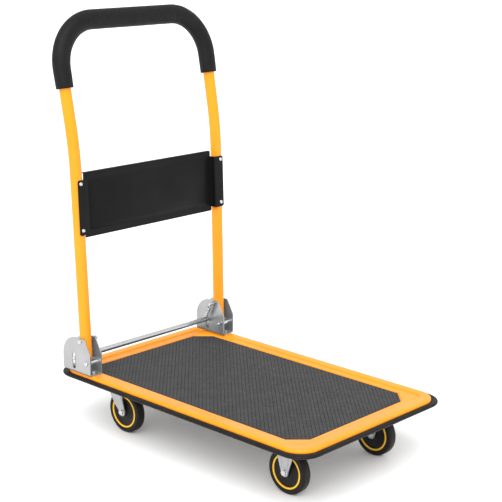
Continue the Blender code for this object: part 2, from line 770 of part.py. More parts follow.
def build_axle(name, centre, sign, parent):
    """A hexagon bolt along X, head outside, made in one with its nut."""
    outside = FORK_HALF_GAP + FORK_SHEET + GAP
    across = 11 * MM
    stations = (
        (-outside - 6.5 * MM, None),
        (-outside - 4.5 * MM, None),
        (-outside - 4.5 * MM, across),
        (-outside, across),
        (-outside, None),
        (outside, None),
        (outside, across),
        (outside + 3.6 * MM, across),
        (outside + 4.4 * MM, across - 2 * MM),
    )
    rings = []
    for along, size in stations:
        middle = (centre[0] + sign * along, centre[1], centre[2])
        if size is None:
            ring = [on_circle(middle, "X", AXLE_RADIUS, 2 * math.pi * i / 12) for i in range(12)]
        else:
            ring = hex_ring(middle, "X", size)
        rings.append(ring)
    piece(f"axle_{name}", loft(rings), "zinc", parent)


def forked(name, outline, x, top_inside, parent):
    """A sheet bent over a wheel: a solid of the side outline, hollowed between its legs."""
    half = FORK_HALF_GAP + FORK_SHEET
    fork = piece(f"fork_{name}", prism(outline, "X", x - half, x + half), "zinc", parent)
    ys = [y for y, _ in outline]
    void = box_outline(min(ys) - 5 * MM, max(ys) + 5 * MM, 0, top_inside)
    combine(fork, cutter(f"cut_fork_{name}", prism(void, "X", x - FORK_HALF_GAP, x + FORK_HALF_GAP)))
    return fork


def build_swivel_caster(side, sign):
    name = f"rear_{side}"
    x, y = sign * REAR_CASTER_X, REAR_CASTER_Y
    plate_low = PLATE_TOP - PLATE_THICK
    plate_outline = rounded_outline(x - PLATE_SIZE[0] / 2, x + PLATE_SIZE[0] / 2,
                                    y - PLATE_SIZE[1] / 2, y + PLATE_SIZE[1] / 2, 6 * MM)
    plate = piece(f"caster_plate_{name}", prism(plate_outline, "Z", plate_low, PLATE_TOP), "zinc")
    pin_hole = drill(f"cut_kingpin_{name}", (x, y, FORK_TOP), "Z", KINGPIN_RADIUS + GAP, 60 * MM)
    combine(plate, pin_hole)
    race_low, race_high = FORK_TOP + GAP, plate_low - GAP
    race = (
        (race_low, KINGPIN_RADIUS + 2 * GAP),
        (race_low, RACE_RADIUS - 3 * MM),
        (race_low + 2.5 * MM, RACE_RADIUS),
        (race_high - 2.5 * MM, RACE_RADIUS),
        (race_high, RACE_RADIUS - 4 * MM),
        (race_high, KINGPIN_RADIUS + 2 * GAP),
    )
    piece(f"swivel_race_{name}", turned(race, (x, y, 0), "Z", 18, hollow=True), "zinc")
    fork_under = FORK_TOP - FORK_SHEET
    kingpin = (
        (fork_under - 2 * MM, 7 * MM),
        (fork_under - GAP, 9 * MM),
        (fork_under - GAP, KINGPIN_RADIUS),
        (PLATE_TOP - GAP, KINGPIN_RADIUS),
    )
    piece(f"kingpin_{name}", turned(kingpin, (x, y, 0), "Z", 16), "zinc")

    swivel = pivot(f"swivel_{name}", (x, y, FORK_TOP))
    centre = (x, y - TRAIL, WHEEL_RADIUS)
    outline = circle_arc((centre[1], centre[2]), FORK_TIP, 165, 360, 6)
    outline += [
        (centre[1] + 12.5 * MM, centre[2] + 4 * MM),
        (y - 3 * MM, centre[2] + 12 * MM),
        (y + 8.5 * MM, centre[2] + 28 * MM),
        (y + 20 * MM, FORK_TOP - 6 * MM),
        (y + 20 * MM, FORK_TOP),
        (y - 21 * MM, FORK_TOP),
        (y - 21 * MM, FORK_TOP - 6 * MM),
        (y - 25 * MM, centre[2] + 29 * MM),
    ]
    fork = forked(name, outline, x, fork_under, swivel)
    combine(fork, pin_hole)
    combine(fork, drill(f"cut_axle_{name}", centre, "X", AXLE_RADIUS + GAP, 50 * MM))
    build_axle(name, centre, sign, swivel)
    build_wheel(name, centre, pivot(f"spin_{name}", centre, swivel))


def build_rigid_caster(side, sign):
    name = f"front_{side}"
    x, y = sign * FRONT_CASTER_X, FRONT_CASTER_Y
    centre = (x, y, WHEEL_RADIUS)
    plate_low = PLATE_TOP - PLATE_THICK
    shoulder = plate_low - 8 * MM
    outline = circle_arc((y, WHEEL_RADIUS), FORK_TIP, 190, 350, 6)
    outline += [
        (y + 10 * MM, WHEEL_RADIUS + 4 * MM),
        (y + 18 * MM, WHEEL_RADIUS + 28 * MM),
        (y + 22 * MM, shoulder),
        (y + 26 * MM, plate_low + PLATE_THICK / 2),
        (y - 26 * MM, plate_low + PLATE_THICK / 2),
        (y - 22 * MM, shoulder),
        (y - 18 * MM, WHEEL_RADIUS + 28 * MM),
        (y - 10 * MM, WHEEL_RADIUS + 4 * MM),
    ]
    fork = forked(name, outline, x, plate_low + PLATE_THICK / 4, None)
    plate_outline = rounded_outline(x - PLATE_SIZE[0] / 2, x + PLATE_SIZE[0] / 2,
                                    y - PLATE_SIZE[1] / 2, y + PLATE_SIZE[1] / 2, 6 * MM)
    plate = cutter(f"join_plate_{name}", prism(plate_outline, "Z", plate_low, PLATE_TOP))
    combine(fork, plate, "UNION")
    combine(fork, drill(f"cut_axle_{name}", centre, "X", AXLE_RADIUS + GAP, 50 * MM))
    build_axle(name, centre, sign, None)
    build_wheel(name, centre, pivot(f"spin_{name}", centre))


def main():
    for obj in list(bpy.data.objects):
        bpy.data.objects.remove(obj, do_unlink=True)
    build_brackets()
    build_deck()
    build_bumper()
    build_ribs()
    build_pins()
    build_base_bolts()
    build_release_rod()
    build_springs()
    build_handle()
    for side, sign in SIDES:
        build_swivel_caster(side, sign)
        build_rigid_caster(side, sign)


main()
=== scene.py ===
"""Looks for the folding platform cart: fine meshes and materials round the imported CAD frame.

Every piece is built in the frame's own place: X across the cart, Y along it with the handle
at +Y, Z up from the floor. "left" is +X. Lengths are metres.
"""

import json
import math

import bmesh
import bpy
from mathutils import Matrix, Vector, noise


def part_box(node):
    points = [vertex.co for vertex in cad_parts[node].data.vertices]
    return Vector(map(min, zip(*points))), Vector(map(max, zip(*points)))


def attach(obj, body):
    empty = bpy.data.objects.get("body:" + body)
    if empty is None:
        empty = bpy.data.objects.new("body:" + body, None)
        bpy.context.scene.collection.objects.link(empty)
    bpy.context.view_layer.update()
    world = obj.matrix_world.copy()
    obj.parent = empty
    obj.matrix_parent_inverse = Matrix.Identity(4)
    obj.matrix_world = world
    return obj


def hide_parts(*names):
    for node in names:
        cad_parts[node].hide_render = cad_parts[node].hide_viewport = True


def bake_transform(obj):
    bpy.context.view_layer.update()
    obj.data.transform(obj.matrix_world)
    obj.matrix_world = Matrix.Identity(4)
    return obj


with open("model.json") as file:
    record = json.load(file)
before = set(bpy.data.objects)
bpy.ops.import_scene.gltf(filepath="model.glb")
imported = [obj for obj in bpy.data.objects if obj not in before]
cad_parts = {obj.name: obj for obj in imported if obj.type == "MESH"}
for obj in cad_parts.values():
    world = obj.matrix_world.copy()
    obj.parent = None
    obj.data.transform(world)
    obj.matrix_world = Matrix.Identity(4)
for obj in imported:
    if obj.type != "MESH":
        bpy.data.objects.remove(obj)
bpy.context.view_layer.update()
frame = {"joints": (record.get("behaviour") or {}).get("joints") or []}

MM = 0.001
GAP = 0.3 * MM
WELD = 1e-6
SIDES = (("left", 1), ("right", -1))
AXES = {"X": Vector((1, 0, 0)), "Z": Vector((0, 0, 1))}
JOINTS = {joint["name"]: joint for joint in frame["joints"]}

# Places taken from the frame
PIVOT = Vector(JOINTS["handle_fold"]["pos_m"])
DECK_LOW, DECK_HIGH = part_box("deck_pan")
MAT_LOW, MAT_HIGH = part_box("deck_mat")
BUMPER_LOW, BUMPER_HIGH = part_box("bumper")
BRACKET_LOW, BRACKET_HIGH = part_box("bracket_left")
ROD_LOW, ROD_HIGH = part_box("release_rod")
ROD = (ROD_LOW + ROD_HIGH) / 2
STOP_LOW, STOP_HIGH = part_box("stop_pin_left")
STOP = (STOP_LOW + STOP_HIGH) / 2
PIN_LOW, PIN_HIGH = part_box("pivot_pin_left")

# Deck
DECK_CORNER = 44 * MM
SHEET = 2 * MM
SHEET_SHIFT = 1.2 * MM
SKIRT_EASE = 0.4 * MM
RIM_STEP = 3 * MM
RIM_STEP_INSET = 23 * MM
RIM_STEP_SPAN = (-0.4 * MM, 2.4 * MM)
RIM_EDGE_RADIUS = 5 * MM
EDGE_STEPS = 10
RECESS_INSET = 9 * MM
RECESS_WALL = 3.4 * MM
MAT_CHAMFER = 33 * MM
BUMPER_CORNER_GROWTH = 0.3
BUMPER_EASE = 0.5 * MM
RING_STEPS = 22
RIB_WALL = 1.6 * MM
RIB_FLANGE = 13.2 * MM
RIB_BEND = 1.4 * MM

# Mat pattern: square pads between V grooves, set at 45 degrees
PAD_PITCH = 7.5 * MM
GROOVE_HALF = 0.9 * MM
GROOVE_DEPTH = 0.9 * MM

# Handle, measured from its pivot up along the leg
LEG_X = 201 * MM
LEG_SPLAY = math.radians(0.7)
TUBE_RADIUS = 12.5 * MM
TUBE_WALL = 1.6 * MM
STUB = 40 * MM
LOWER_LEAN = math.radians(2.5)
UPPER_LEAN = math.radians(11)
KNEE_START = 355.3 * MM
KNEE_RADIUS = 700 * MM
BAR_HEIGHT = 868 * MM
BAR_CORNER = 95 * MM
GRIP_RADIUS = 17.8 * MM
GRIP_LEG_LENGTH = 40.5 * MM
GRIP_SWELL_END = 0.05
GRIP_SWELL_BAR = 0.18
GRIP_UNEVEN = 0.22 * MM
GRIP_LUMPS = 60

# Sign panel, heights along the leg
PANEL_LOW = 219.4 * MM
PANEL_HIGH = 357.4 * MM
PANEL_HALF_WIDTH = 187.8 * MM
PANEL_THICK = 1.5 * MM
PANEL_HEM = 8 * MM
PANEL_BEND = 1.6 * MM
TAB_BEND = 1.5 * MM
TAB_CORNER = 4 * MM
TAB_LOW = 229 * MM
TAB_HIGH = 345 * MM
TAB_REACH = 212.5 * MM
EMBOSS = (170.2 * MM, 237.2 * MM, 338.5 * MM)
EMBOSS_CORNER = 8
EMBOSS_RINGS = ((2.2, -0.75), (2.2, -0.02), (1.5, 0.18), (0.5, 1.0), (0.0, 1.2))
RIVET_SHANK = 2.2 * MM
RIVET_HEAD = 4.2 * MM
RIVET_EDGE = 0.4 * MM
RIVET_DOME = 1.7 * MM
RIVET_HEIGHTS = (("lower", 239 * MM), ("upper", 337.5 * MM))

# Brackets and pins
BRACKET_SHEET = 2.5 * MM
BRACKET_BEND = 2.2 * MM
SHEET_BEVEL = 0.35 * MM
BRACKET_CORNER = 3 * MM
CHEEK_REACH = (160 * MM, 240 * MM)
CUT_MARGIN = 5 * MM
BRACKET_ARC = 42.5 * MM
BRACKET_FRONT_TOP = 178.5 * MM
BRACKET_SHOULDER_Y = 264 * MM
OUTER_FACE = BRACKET_HIGH.x
INNER_FACE = BRACKET_LOW.x
SLOT_HALF_WIDTH = 4.8 * MM
SLOT_LOW = 139.6 * MM
SLOT_HIGH = 175 * MM
PIVOT_PIN_RADIUS = 3.2 * MM
PIVOT_PIN_HEAD = 5.2 * MM
PIVOT_NUT = (11 * MM, 5 * MM)
STOP_PIN_RADIUS = 3 * MM
STOP_PIN_HEAD = 5.5 * MM
STOP_NUT = (9.5 * MM, 4.5 * MM)
PIN_RIM = 0.9 * MM
PIN_DOME = 1.9 * MM
SLEEVE_RADIUS = 4.3 * MM
SLEEVE_EASE = 0.4 * MM
BASE_BOLT_RADIUS = 3 * MM
BASE_BOLT_ACROSS = 10 * MM
BASE_NUT_THICK = 4.5 * MM
NUT_FACE = 0.4982
ROD_RADIUS = 6 * MM
ROD_END_RADIUS = 3.6 * MM
ROD_SHOULDER_GAP = 0.8 * MM
SPRING_X = 174.5 * MM
SPRING_WIRE = 0.75 * MM
SPRING_COIL = 4 * MM
SPRING_TURNS = 14
SPRING_COIL_STEPS = 12
SPRING_HOOK_STEPS = 9
SPRING_TOP_LEAD = 9.5 * MM
SPRING_LOW_LEAD = 11 * MM

# Casters
TYRE_HALF_WIDTH = 10.5 * MM
TREAD_ROUND = 4.5 * MM
BAND_OUTER = 35.6 * MM
BAND_INNER = 31.8 * MM
AXLE_RADIUS = 4 * MM
FORK_SHEET = 2.5 * MM
FORK_HALF_GAP = 13 * MM
FORK_TIP = 9 * MM
FORK_BEND = 2.6 * MM
FORK_CORNER = 5 * MM
FORK_BEAD = 0.9 * MM
PLATE_THICK = 3 * MM
PLATE_CORNER = 6 * MM
PLATE_BOLT_SPREAD = (22 * MM, 33 * MM)
PLATE_BOLT_ACROSS = 9 * MM
AXLE_ACROSS = 11 * MM
AXLE_WASHER = 1.1 * MM
AXLE_NUT_THICK = 3.6 * MM
RACE_BORE = 6.2 * MM
KINGPIN_RADIUS = 5.5 * MM

# Stage and camera
FLOOR_SIZE = 40
FLOOR_CELLS = 8
SKY_STRENGTH = 1.04
LIGHT_STRENGTH = 2.5
LIGHT_ANGLE = 50
LIGHT_FROM = (-2.1, -1.7, 3.1)
CAMERA_PLACE = (-1.9541, -1.8324, 1.1036)
CAMERA_YAW = 47.0248
CAMERA_PITCH = 14.4333
CAMERA_ROLL = 0.6539
CAMERA_LENS = 96.67
CAMERA_SENSOR = 36


# Outlines and rings

def arc(centre, radius, start, end, steps):
    """Points on an arc in a plane, from start to end degrees, both ends included."""
    points = []
    for i in range(steps + 1):
        angle = math.radians(start + (end - start) * i / steps)
        points.append((centre[0] + radius * math.cos(angle), centre[1] + radius * math.sin(angle)))
    return points


def offsets(x, y, pairs):
    """Points that far from (x, y), from pairs in millimetres."""
    return [(x + a * MM, y + b * MM) for a, b in pairs]


def rounded_ring(inset, height, radius=None):
    """The deck's outline, inset from its edge, with round corners."""
    half_x = DECK_HIGH.x - inset
    half_y = DECK_HIGH.y - inset
    radius = radius or max(DECK_CORNER - inset, 4 * MM)
    points = []
    for quarter, (sx, sy) in enumerate(((1, 1), (-1, 1), (-1, -1), (1, -1))):
        centre = (sx * (half_x - radius), sy * (half_y - radius))
        points += arc(centre, radius, 90 * quarter, 90 * quarter + 90, RING_STEPS)
    return [Vector((x, y, height)) for x, y in points]


def chamfered_ring(outset, height):
    """The mat's outline, grown by outset: straight sides and cut corners, slightly eased."""
    half_x = MAT_HIGH.x + outset
    half_y = MAT_HIGH.y + outset
    points = []
    for quarter, (sx, sy) in enumerate(((1, 1), (-1, 1), (-1, -1), (1, -1))):
        side_end = (sx * half_x, sy * (half_y - MAT_CHAMFER))
        front_end = (sx * (half_x - MAT_CHAMFER), sy * half_y)
        first, last = (side_end, front_end) if quarter % 2 == 0 else (front_end, side_end)
        for i in range(RING_STEPS + 1):
            t = i / RING_STEPS
            points.append((first[0] * (1 - t) + last[0] * t, first[1] * (1 - t) + last[1] * t))
    return [Vector((x, y, height)) for x, y in points]


def on_circle(centre, axis, radius, angle):
    """A point round an X or Z axis. Angle 0 is straight down for X."""
    side, up = math.sin(angle) * radius, -math.cos(angle) * radius
    offset = (0, side, up) if axis == "X" else (side, up, 0)
    return Vector(centre) + Vector(offset)


def round_ring(centre, axis, radius, segments):
    return [on_circle(centre, axis, radius, 2 * math.pi * i / segments) for i in range(segments)]


def hex_ring(centre, axis, across, segments=24):
    """A hexagon of that width across flats, sampled at its corners and between them."""
    points = []
    for i in range(segments):
        angle = 2 * math.pi * i / segments
        off_flat = (angle % (math.pi / 3)) - math.pi / 6
        points.append(on_circle(centre, axis, across / 2 / math.cos(off_flat), angle))
    return points


def strip_outline(points, thickness, bend, steps=6):
    """The section of a bent sheet that follows points, its bends' middle radius given."""
    line = [Vector(points[0])]
    for before, corner, after in zip(points, points[1:], points[2:]):
        corner = Vector(corner)
        to_before = (Vector(before) - corner).normalized()
        to_after = (Vector(after) - corner).normalized()
        half = to_before.angle(to_after) / 2
        reach = bend / math.tan(half)
        middle = corner + (to_before + to_after).normalized() * (bend / math.sin(half))
        start = corner + to_before * reach - middle
        end = corner + to_after * reach - middle
        for i in range(steps + 1):
            line.append(middle + start.slerp(end, i / steps).normalized() * bend)
    line.append(Vector(points[-1]))
    left, right = [], []
    for i, point in enumerate(line):
        along = (line[min(i + 1, len(line) - 1)] - line[max(i - 1, 0)]).normalized()
        across = Vector((-along.y, along.x)) * thickness / 2
        left.append(tuple(point + across))
        right.append(tuple(point - across))
    return left + right[::-1]


def rounded_outline(x0, x1, y0, y1, radius, steps=5):
    points = []
    corners = ((x1, y1, 0), (x0, y1, 90), (x0, y0, 180), (x1, y0, 270))
    for x, y, start in corners:
        centre = (x - radius if x == x1 else x + radius, y - radius if y == y1 else y + radius)
        points += arc(centre, radius, start, start + 90, steps)
    return points


# Meshes

def loft(rings, closed=False):
    """A closed skin over rings with equal point counts, with fans for caps unless it closes."""
    bm = bmesh.new()
    rows = [[bm.verts.new(p) for p in ring] for ring in rings]
    count = len(rows[0])
    pairs = list(zip(rows, rows[1:]))
    if closed:
        pairs.append((rows[-1], rows[0]))
    for low, high in pairs:
        for i in range(count):
            j = (i + 1) % count
            bm.faces.new((low[i], low[j], high[j], high[i]))
    if not closed:
        for row in (rows[0], rows[-1]):
            middle = bm.verts.new(sum((v.co for v in row), Vector()) / count)
            for i in range(count):
                bm.faces.new((row[i], row[(i + 1) % count], middle))
    bmesh.ops.recalc_face_normals(bm, faces=bm.faces)
    return bm


def turned(profile, centre, axis, segments=32, hollow=False):
    """A solid turned about an X or Z axis through centre, from (along, radius) points."""
    rings = [round_ring(Vector(centre) + AXES[axis] * along, axis, radius, segments)
             for along, radius in profile]
    return loft(rings, closed=hollow)


def prism(outline, axis, low, high):
    """An outline in the plane across an X, Y or Z axis, extruded from low to high."""
    bm = bmesh.new()
    order = {
        "X": lambda a, u, v: (a, u, v),
        "Y": lambda a, u, v: (u, a, v),
        "Z": lambda a, u, v: (u, v, a),
    }
    place = order[axis]
    ends = [[bm.verts.new(place(a, u, v)) for u, v in outline] for a in (low, high)]
    bm.faces.new(ends[0])
    bm.faces.new(ends[1])
    for i in range(len(outline)):
        j = (i + 1) % len(outline)
        bm.faces.new((ends[0][i], ends[0][j], ends[1][j], ends[1][i]))
    bmesh.ops.recalc_face_normals(bm, faces=bm.faces)
    return bm


def swept_rings(path, radii, sides):
    """Circles square to a path, turned as little as possible from one to the next."""
    rings = []
    normal = Vector((0, 1, 0))
    for i, point in enumerate(path):
        tangent = (path[min(i + 1, len(path) - 1)] - path[max(i - 1, 0)]).normalized()
        normal = (normal - tangent * normal.dot(tangent)).normalized()
        across = tangent.cross(normal)
        ring = []
        for k in range(sides):
            angle = 2 * math.pi * k / sides
            ring.append(point + (normal * math.cos(angle) + across * math.sin(angle)) * radii[i])
        rings.append(ring)
    return rings


def pipe(path, outer, inner, sides, edge):
    """A tube with an open bore along a path, its cut ends eased by edge."""
    ease = [edge] + [0] * (len(path) - 2) + [edge]
    outside = swept_rings(path, [outer - e for e in ease], sides)
    inside = swept_rings(path, [inner + e * 0.5 for e in ease], sides)
    return loft(outside + inside[::-1], closed=True)


def wire(path, radius, sides=8):
    radii = [radius] * len(path)
    return loft(swept_rings(path, radii, sides))


def moved(bm, matrix):
    bmesh.ops.transform(bm, matrix=matrix, verts=bm.verts)
    return bm


def merged(parts):
    """Several separate closed bodies in one mesh."""
    whole = bmesh.new()
    for part in parts:
        mesh = bpy.data.meshes.new("part")
        part.to_mesh(mesh)
        part.free()
        whole.from_mesh(mesh)
        bpy.data.meshes.remove(mesh)
    return whole


def solid(base, steps):
    """base after exact Booleans: steps are (operation, mesh)."""
    objects = []
    for i, bm in enumerate([base] + [bm for _, bm in steps]):
        mesh = bpy.data.meshes.new(f"solid_{i}")
        bm.to_mesh(mesh)
        bm.free()
        obj = bpy.data.objects.new(f"solid_{i}", mesh)
        bpy.context.scene.collection.objects.link(obj)
        objects.append(obj)
    for (operation, _), tool in zip(steps, objects[1:]):
        modifier = objects[0].modifiers.new("cut", "BOOLEAN")
        modifier.object = tool
        modifier.operation = operation
        modifier.solver = "EXACT"
    depsgraph = bpy.context.evaluated_depsgraph_get()
    result = bmesh.new()
    result.from_mesh(objects[0].evaluated_get(depsgraph).to_mesh())
    for obj in objects:
        mesh = obj.data
        bpy.data.objects.remove(obj)
        bpy.data.meshes.remove(mesh)
    bmesh.ops.remove_doubles(result, verts=result.verts, dist=WELD)
    bmesh.ops.dissolve_limit(result, angle_limit=math.radians(1), verts=result.verts,
                             edges=result.edges)
    return result


def piece(name, bm, finish, body, nodes=(), bevel=0.0, sharp=35):
    """A finished piece that rides a body and stands for CAD nodes."""
    slot, material = finish
    mesh = bpy.data.meshes.new(name)
    bm.to_mesh(mesh)
    bm.free()
    obj = bpy.data.objects.new(name, mesh)
    bpy.context.scene.collection.objects.link(obj)
    mesh.materials.append(material)
    mesh.shade_smooth()
    if bevel:
        modifier = obj.modifiers.new("edges", "BEVEL")
        modifier.width = bevel
        modifier.segments = 2
        modifier.limit_method = "ANGLE"
        modifier.angle_limit = math.radians(30)
        modifier.harden_normals = True
    else:
        mesh.set_sharp_from_angle(angle=math.radians(sharp))
    if nodes:
        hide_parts(*nodes)
    if body:
        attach(obj, body)
    return obj


# Materials

def shade(name, dark, light, roughness, scale=18.0, metallic=0.0, fine=900.0, bump=0.15, depth=0.05,
          stretch=(1, 1, 1), specular=0.5, cells=False, bounce=None, painted_groove_shade=None):
    """A Principled material whose colour, roughness and relief vary over the surface, and whose colour
    can carry painted shade that darkens it low in its relief.
    """
    material = bpy.data.materials.new(name)
    material.use_nodes = True
    tree = material.node_tree
    nodes, links = tree.nodes, tree.links
    shader = nodes["Principled BSDF"]
    shader.inputs["Metallic"].default_value = metallic
    shader.inputs["Specular IOR Level"].default_value = specular
    place = nodes.new("ShaderNodeTexCoord")
    mapping = nodes.new("ShaderNodeMapping")
    mapping.inputs["Scale"].default_value = stretch
    links.new(place.outputs["Object"], mapping.inputs["Vector"])

    broad = nodes.new("ShaderNodeTexNoise")
    broad.inputs["Scale"].default_value = scale
    broad.inputs["Detail"].default_value = 5
    links.new(mapping.outputs["Vector"], broad.inputs["Vector"])
    ramp = nodes.new("ShaderNodeValToRGB")
    ramp.color_ramp.elements[0].position = 0.3
    ramp.color_ramp.elements[0].color = (*dark, 1)
    ramp.color_ramp.elements[1].position = 0.7
    ramp.color_ramp.elements[1].color = (*light, 1)
    links.new(broad.outputs["Fac"], ramp.inputs["Fac"])
    colour = ramp.outputs["Color"]
    # Painted shade: below the given top height the colour darkens, down to the given share of itself at
    # the low height, as shade falling in grooves.
    if painted_groove_shade:
        low, high, deepest_shade = painted_groove_shade
        split = nodes.new("ShaderNodeSeparateXYZ")
        links.new(place.outputs["Object"], split.inputs["Vector"])
        level = nodes.new("ShaderNodeMapRange")
        level.inputs["From Min"].default_value = low
        level.inputs["From Max"].default_value = high
        level.inputs["To Min"].default_value = deepest_shade
        links.new(split.outputs["Z"], level.inputs["Value"])
        darken = nodes.new("ShaderNodeVectorMath")
        darken.operation = "SCALE"
        links.new(colour, darken.inputs[0])
        links.new(level.outputs["Result"], darken.inputs["Scale"])
        colour = darken.outputs["Vector"]
    if bounce:
        path = nodes.new("ShaderNodeLightPath")
        swap = nodes.new("ShaderNodeMix")
        swap.data_type = "RGBA"
        swap.inputs["B"].default_value = (*bounce, 1)
        seen = nodes.new("ShaderNodeMath")
        seen.operation = "MAXIMUM"
        links.new(path.outputs["Is Diffuse Ray"], seen.inputs[0])
        links.new(path.outputs["Is Glossy Ray"], seen.inputs[1])
        links.new(seen.outputs["Value"], swap.inputs["Factor"])
        links.new(colour, swap.inputs["A"])
        colour = swap.outputs["Result"]
    links.new(colour, shader.inputs["Base Color"])

    patches = nodes.new("ShaderNodeTexNoise")
    patches.inputs["Scale"].default_value = scale * 3.1
    patches.inputs["Detail"].default_value = 4
    links.new(mapping.outputs["Vector"], patches.inputs["Vector"])
    span = nodes.new("ShaderNodeMapRange")
    span.inputs["From Min"].default_value = 0.3
    span.inputs["From Max"].default_value = 0.7
    span.inputs["To Min"].default_value = roughness[0]
    span.inputs["To Max"].default_value = roughness[1]
    links.new(patches.outputs["Fac"], span.inputs["Value"])
    links.new(span.outputs["Result"], shader.inputs["Roughness"])

    if cells:
        grain = nodes.new("ShaderNodeTexVoronoi")
        height = grain.outputs["Distance"]
    else:
        grain = nodes.new("ShaderNodeTexNoise")
        grain.inputs["Detail"].default_value = 3
        height = grain.outputs["Fac"]
    grain.inputs["Scale"].default_value = fine
    links.new(mapping.outputs["Vector"], grain.inputs["Vector"])
    relief = nodes.new("ShaderNodeBump")
    relief.inputs["Strength"].default_value = bump
    relief.inputs["Distance"].default_value = depth * MM
    links.new(height, relief.inputs["Height"])
    links.new(relief.outputs["Normal"], shader.inputs["Normal"])
    return material


# Each finish: its slot in the record, and its material

ORANGE = ("orange_paint", shade("orange powder coat", (0.93, 0.292, 0.0065), (0.96, 0.32, 0.009),
        (0.24, 0.34), scale=6, fine=420, bump=0.06, depth=0.05, specular=0.3,
        bounce=(0.3, 0.29, 0.28)))
# The mat's grooves carry painted shade: its colour darkens towards their bottom, to half at the deepest.
MAT = ("mat_rubber", shade("mat rubber", (0.035, 0.035, 0.035), (0.0455, 0.0455, 0.045),
        (0.55, 0.75), scale=30, fine=1500, bump=0.3, depth=0.05, specular=0.3,
        painted_groove_shade=(MAT_HIGH.z - GROOVE_DEPTH, MAT_HIGH.z, 0.5)))
BUMPER = ("bumper_rubber", shade("bumper rubber", (0.0075, 0.0062, 0.0054),
        (0.0125, 0.011, 0.0095), (0.42, 0.56), scale=25, fine=1200, bump=0.2, depth=0.05,
        specular=0.16))
FOAM = ("grip_foam", shade("grip foam", (0.0048, 0.0048, 0.0048), (0.008, 0.008, 0.008),
        (0.5, 0.65), scale=40, fine=1700, bump=0.4, depth=0.1, specular=0.18, cells=True))
PANEL = ("panel_black", shade("panel powder coat", (0.005, 0.005, 0.0052), (0.008, 0.008, 0.0084),
        (0.36, 0.46), scale=12, fine=1300, bump=0.15, depth=0.05, specular=0.11))
ZINC = ("zinc", shade("zinc plate", (0.375, 0.375, 0.38), (0.43, 0.43, 0.435), (0.3, 0.4),
        scale=26, metallic=0.75, fine=500, bump=0.015, depth=0.03))
STEEL = ("zinc", shade("bright turned steel", (0.54, 0.54, 0.55), (0.64, 0.64, 0.65), (0.14, 0.22),
        scale=30, metallic=0.9, fine=400, bump=0.02, depth=0.03, stretch=(12, 1, 1)))
SPRING = ("spring_steel", shade("spring wire", (0.5, 0.5, 0.5), (0.68, 0.68, 0.68), (0.2, 0.32),
        scale=160, metallic=0.9, fine=900, bump=0.02, depth=0.03))
TYRE = ("tyre_rubber", shade("tyre rubber", (0.006, 0.0053, 0.005), (0.0105, 0.009, 0.0083),
        (0.42, 0.6), scale=22, fine=1400, bump=0.2, depth=0.06, specular=0.2))
HUB = ("hub_plastic", shade("hub plastic", (0.007, 0.0066, 0.0062), (0.01, 0.0095, 0.009),
        (0.38, 0.5), scale=35, fine=1800, bump=0.1, depth=0.04, specular=0.2))
BAND = ("band_yellow", shade("band yellow", (0.93, 0.5, 0.026), (0.97, 0.57, 0.038), (0.3, 0.42),
        scale=30, fine=1500, bump=0.1, depth=0.04, specular=0.3))


# Deck, mat, bumper and ribs

def eased_step(start, end, low, high, steps=6):
    """(inset, height) pairs of an S-shaped bend between two levels."""
    pairs = []
    for i in range(steps + 1):
        t = i / steps
        pairs.append((start + (end - start) * t, low + (high - low) * t * t * (3 - 2 * t)))
    return pairs


def deck_skin(thickness):
    """Rings of one side of the deck's sheet, from the skirt's lower edge to the mat's recess."""
    top = DECK_HIGH.z
    edge = RIM_EDGE_RADIUS - thickness
    shift = SHEET_SHIFT if thickness else 0
    rings = [rounded_ring(thickness, DECK_LOW.z + SKIRT_EASE)]
    for i in range(EDGE_STEPS + 1):
        angle = math.pi / 2 * i / EDGE_STEPS
        rings.append(rounded_ring(RIM_EDGE_RADIUS - edge * math.cos(angle),
                                  top - RIM_EDGE_RADIUS + edge * math.sin(angle)))
    outer, inner = top - thickness, top - RIM_STEP - thickness
    start, end = (RIM_STEP_INSET - shift + place for place in RIM_STEP_SPAN)
    for inset, height in eased_step(start, end, outer, inner, 8):
        rings.append(rounded_ring(inset, height))
    rings.append(rounded_ring(RIM_STEP_INSET + RECESS_INSET, inner))
    recess = MAT_LOW.z - GAP - thickness
    for outset, height in eased_step(GAP + RECESS_WALL + shift, GAP + shift, inner, recess):
        rings.append(chamfered_ring(outset, height))
    return rings


def build_deck():
    """The pressed deck: its two skins joined by the skirt's lower lip."""
    low = DECK_LOW.z
    lip = [rounded_ring(SHEET - SKIRT_EASE, low), rounded_ring(SKIRT_EASE, low)]
    piece("deck_shell", loft(deck_skin(SHEET)[::-1] + lip + deck_skin(0)), ORANGE, "platform",
          ["deck_pan"], sharp=50)


def mat_heights(count):
    """Grid lines across count pads: (place, on top of a pad)."""
    lines = []
    start = -count * PAD_PITCH / 2
    for i in range(count):
        here = start + i * PAD_PITCH
        lines += [(here, False), (here + GROOVE_HALF, True), (here + PAD_PITCH - GROOVE_HALF, True)]
    lines.append((start + count * PAD_PITCH, False))
    return lines


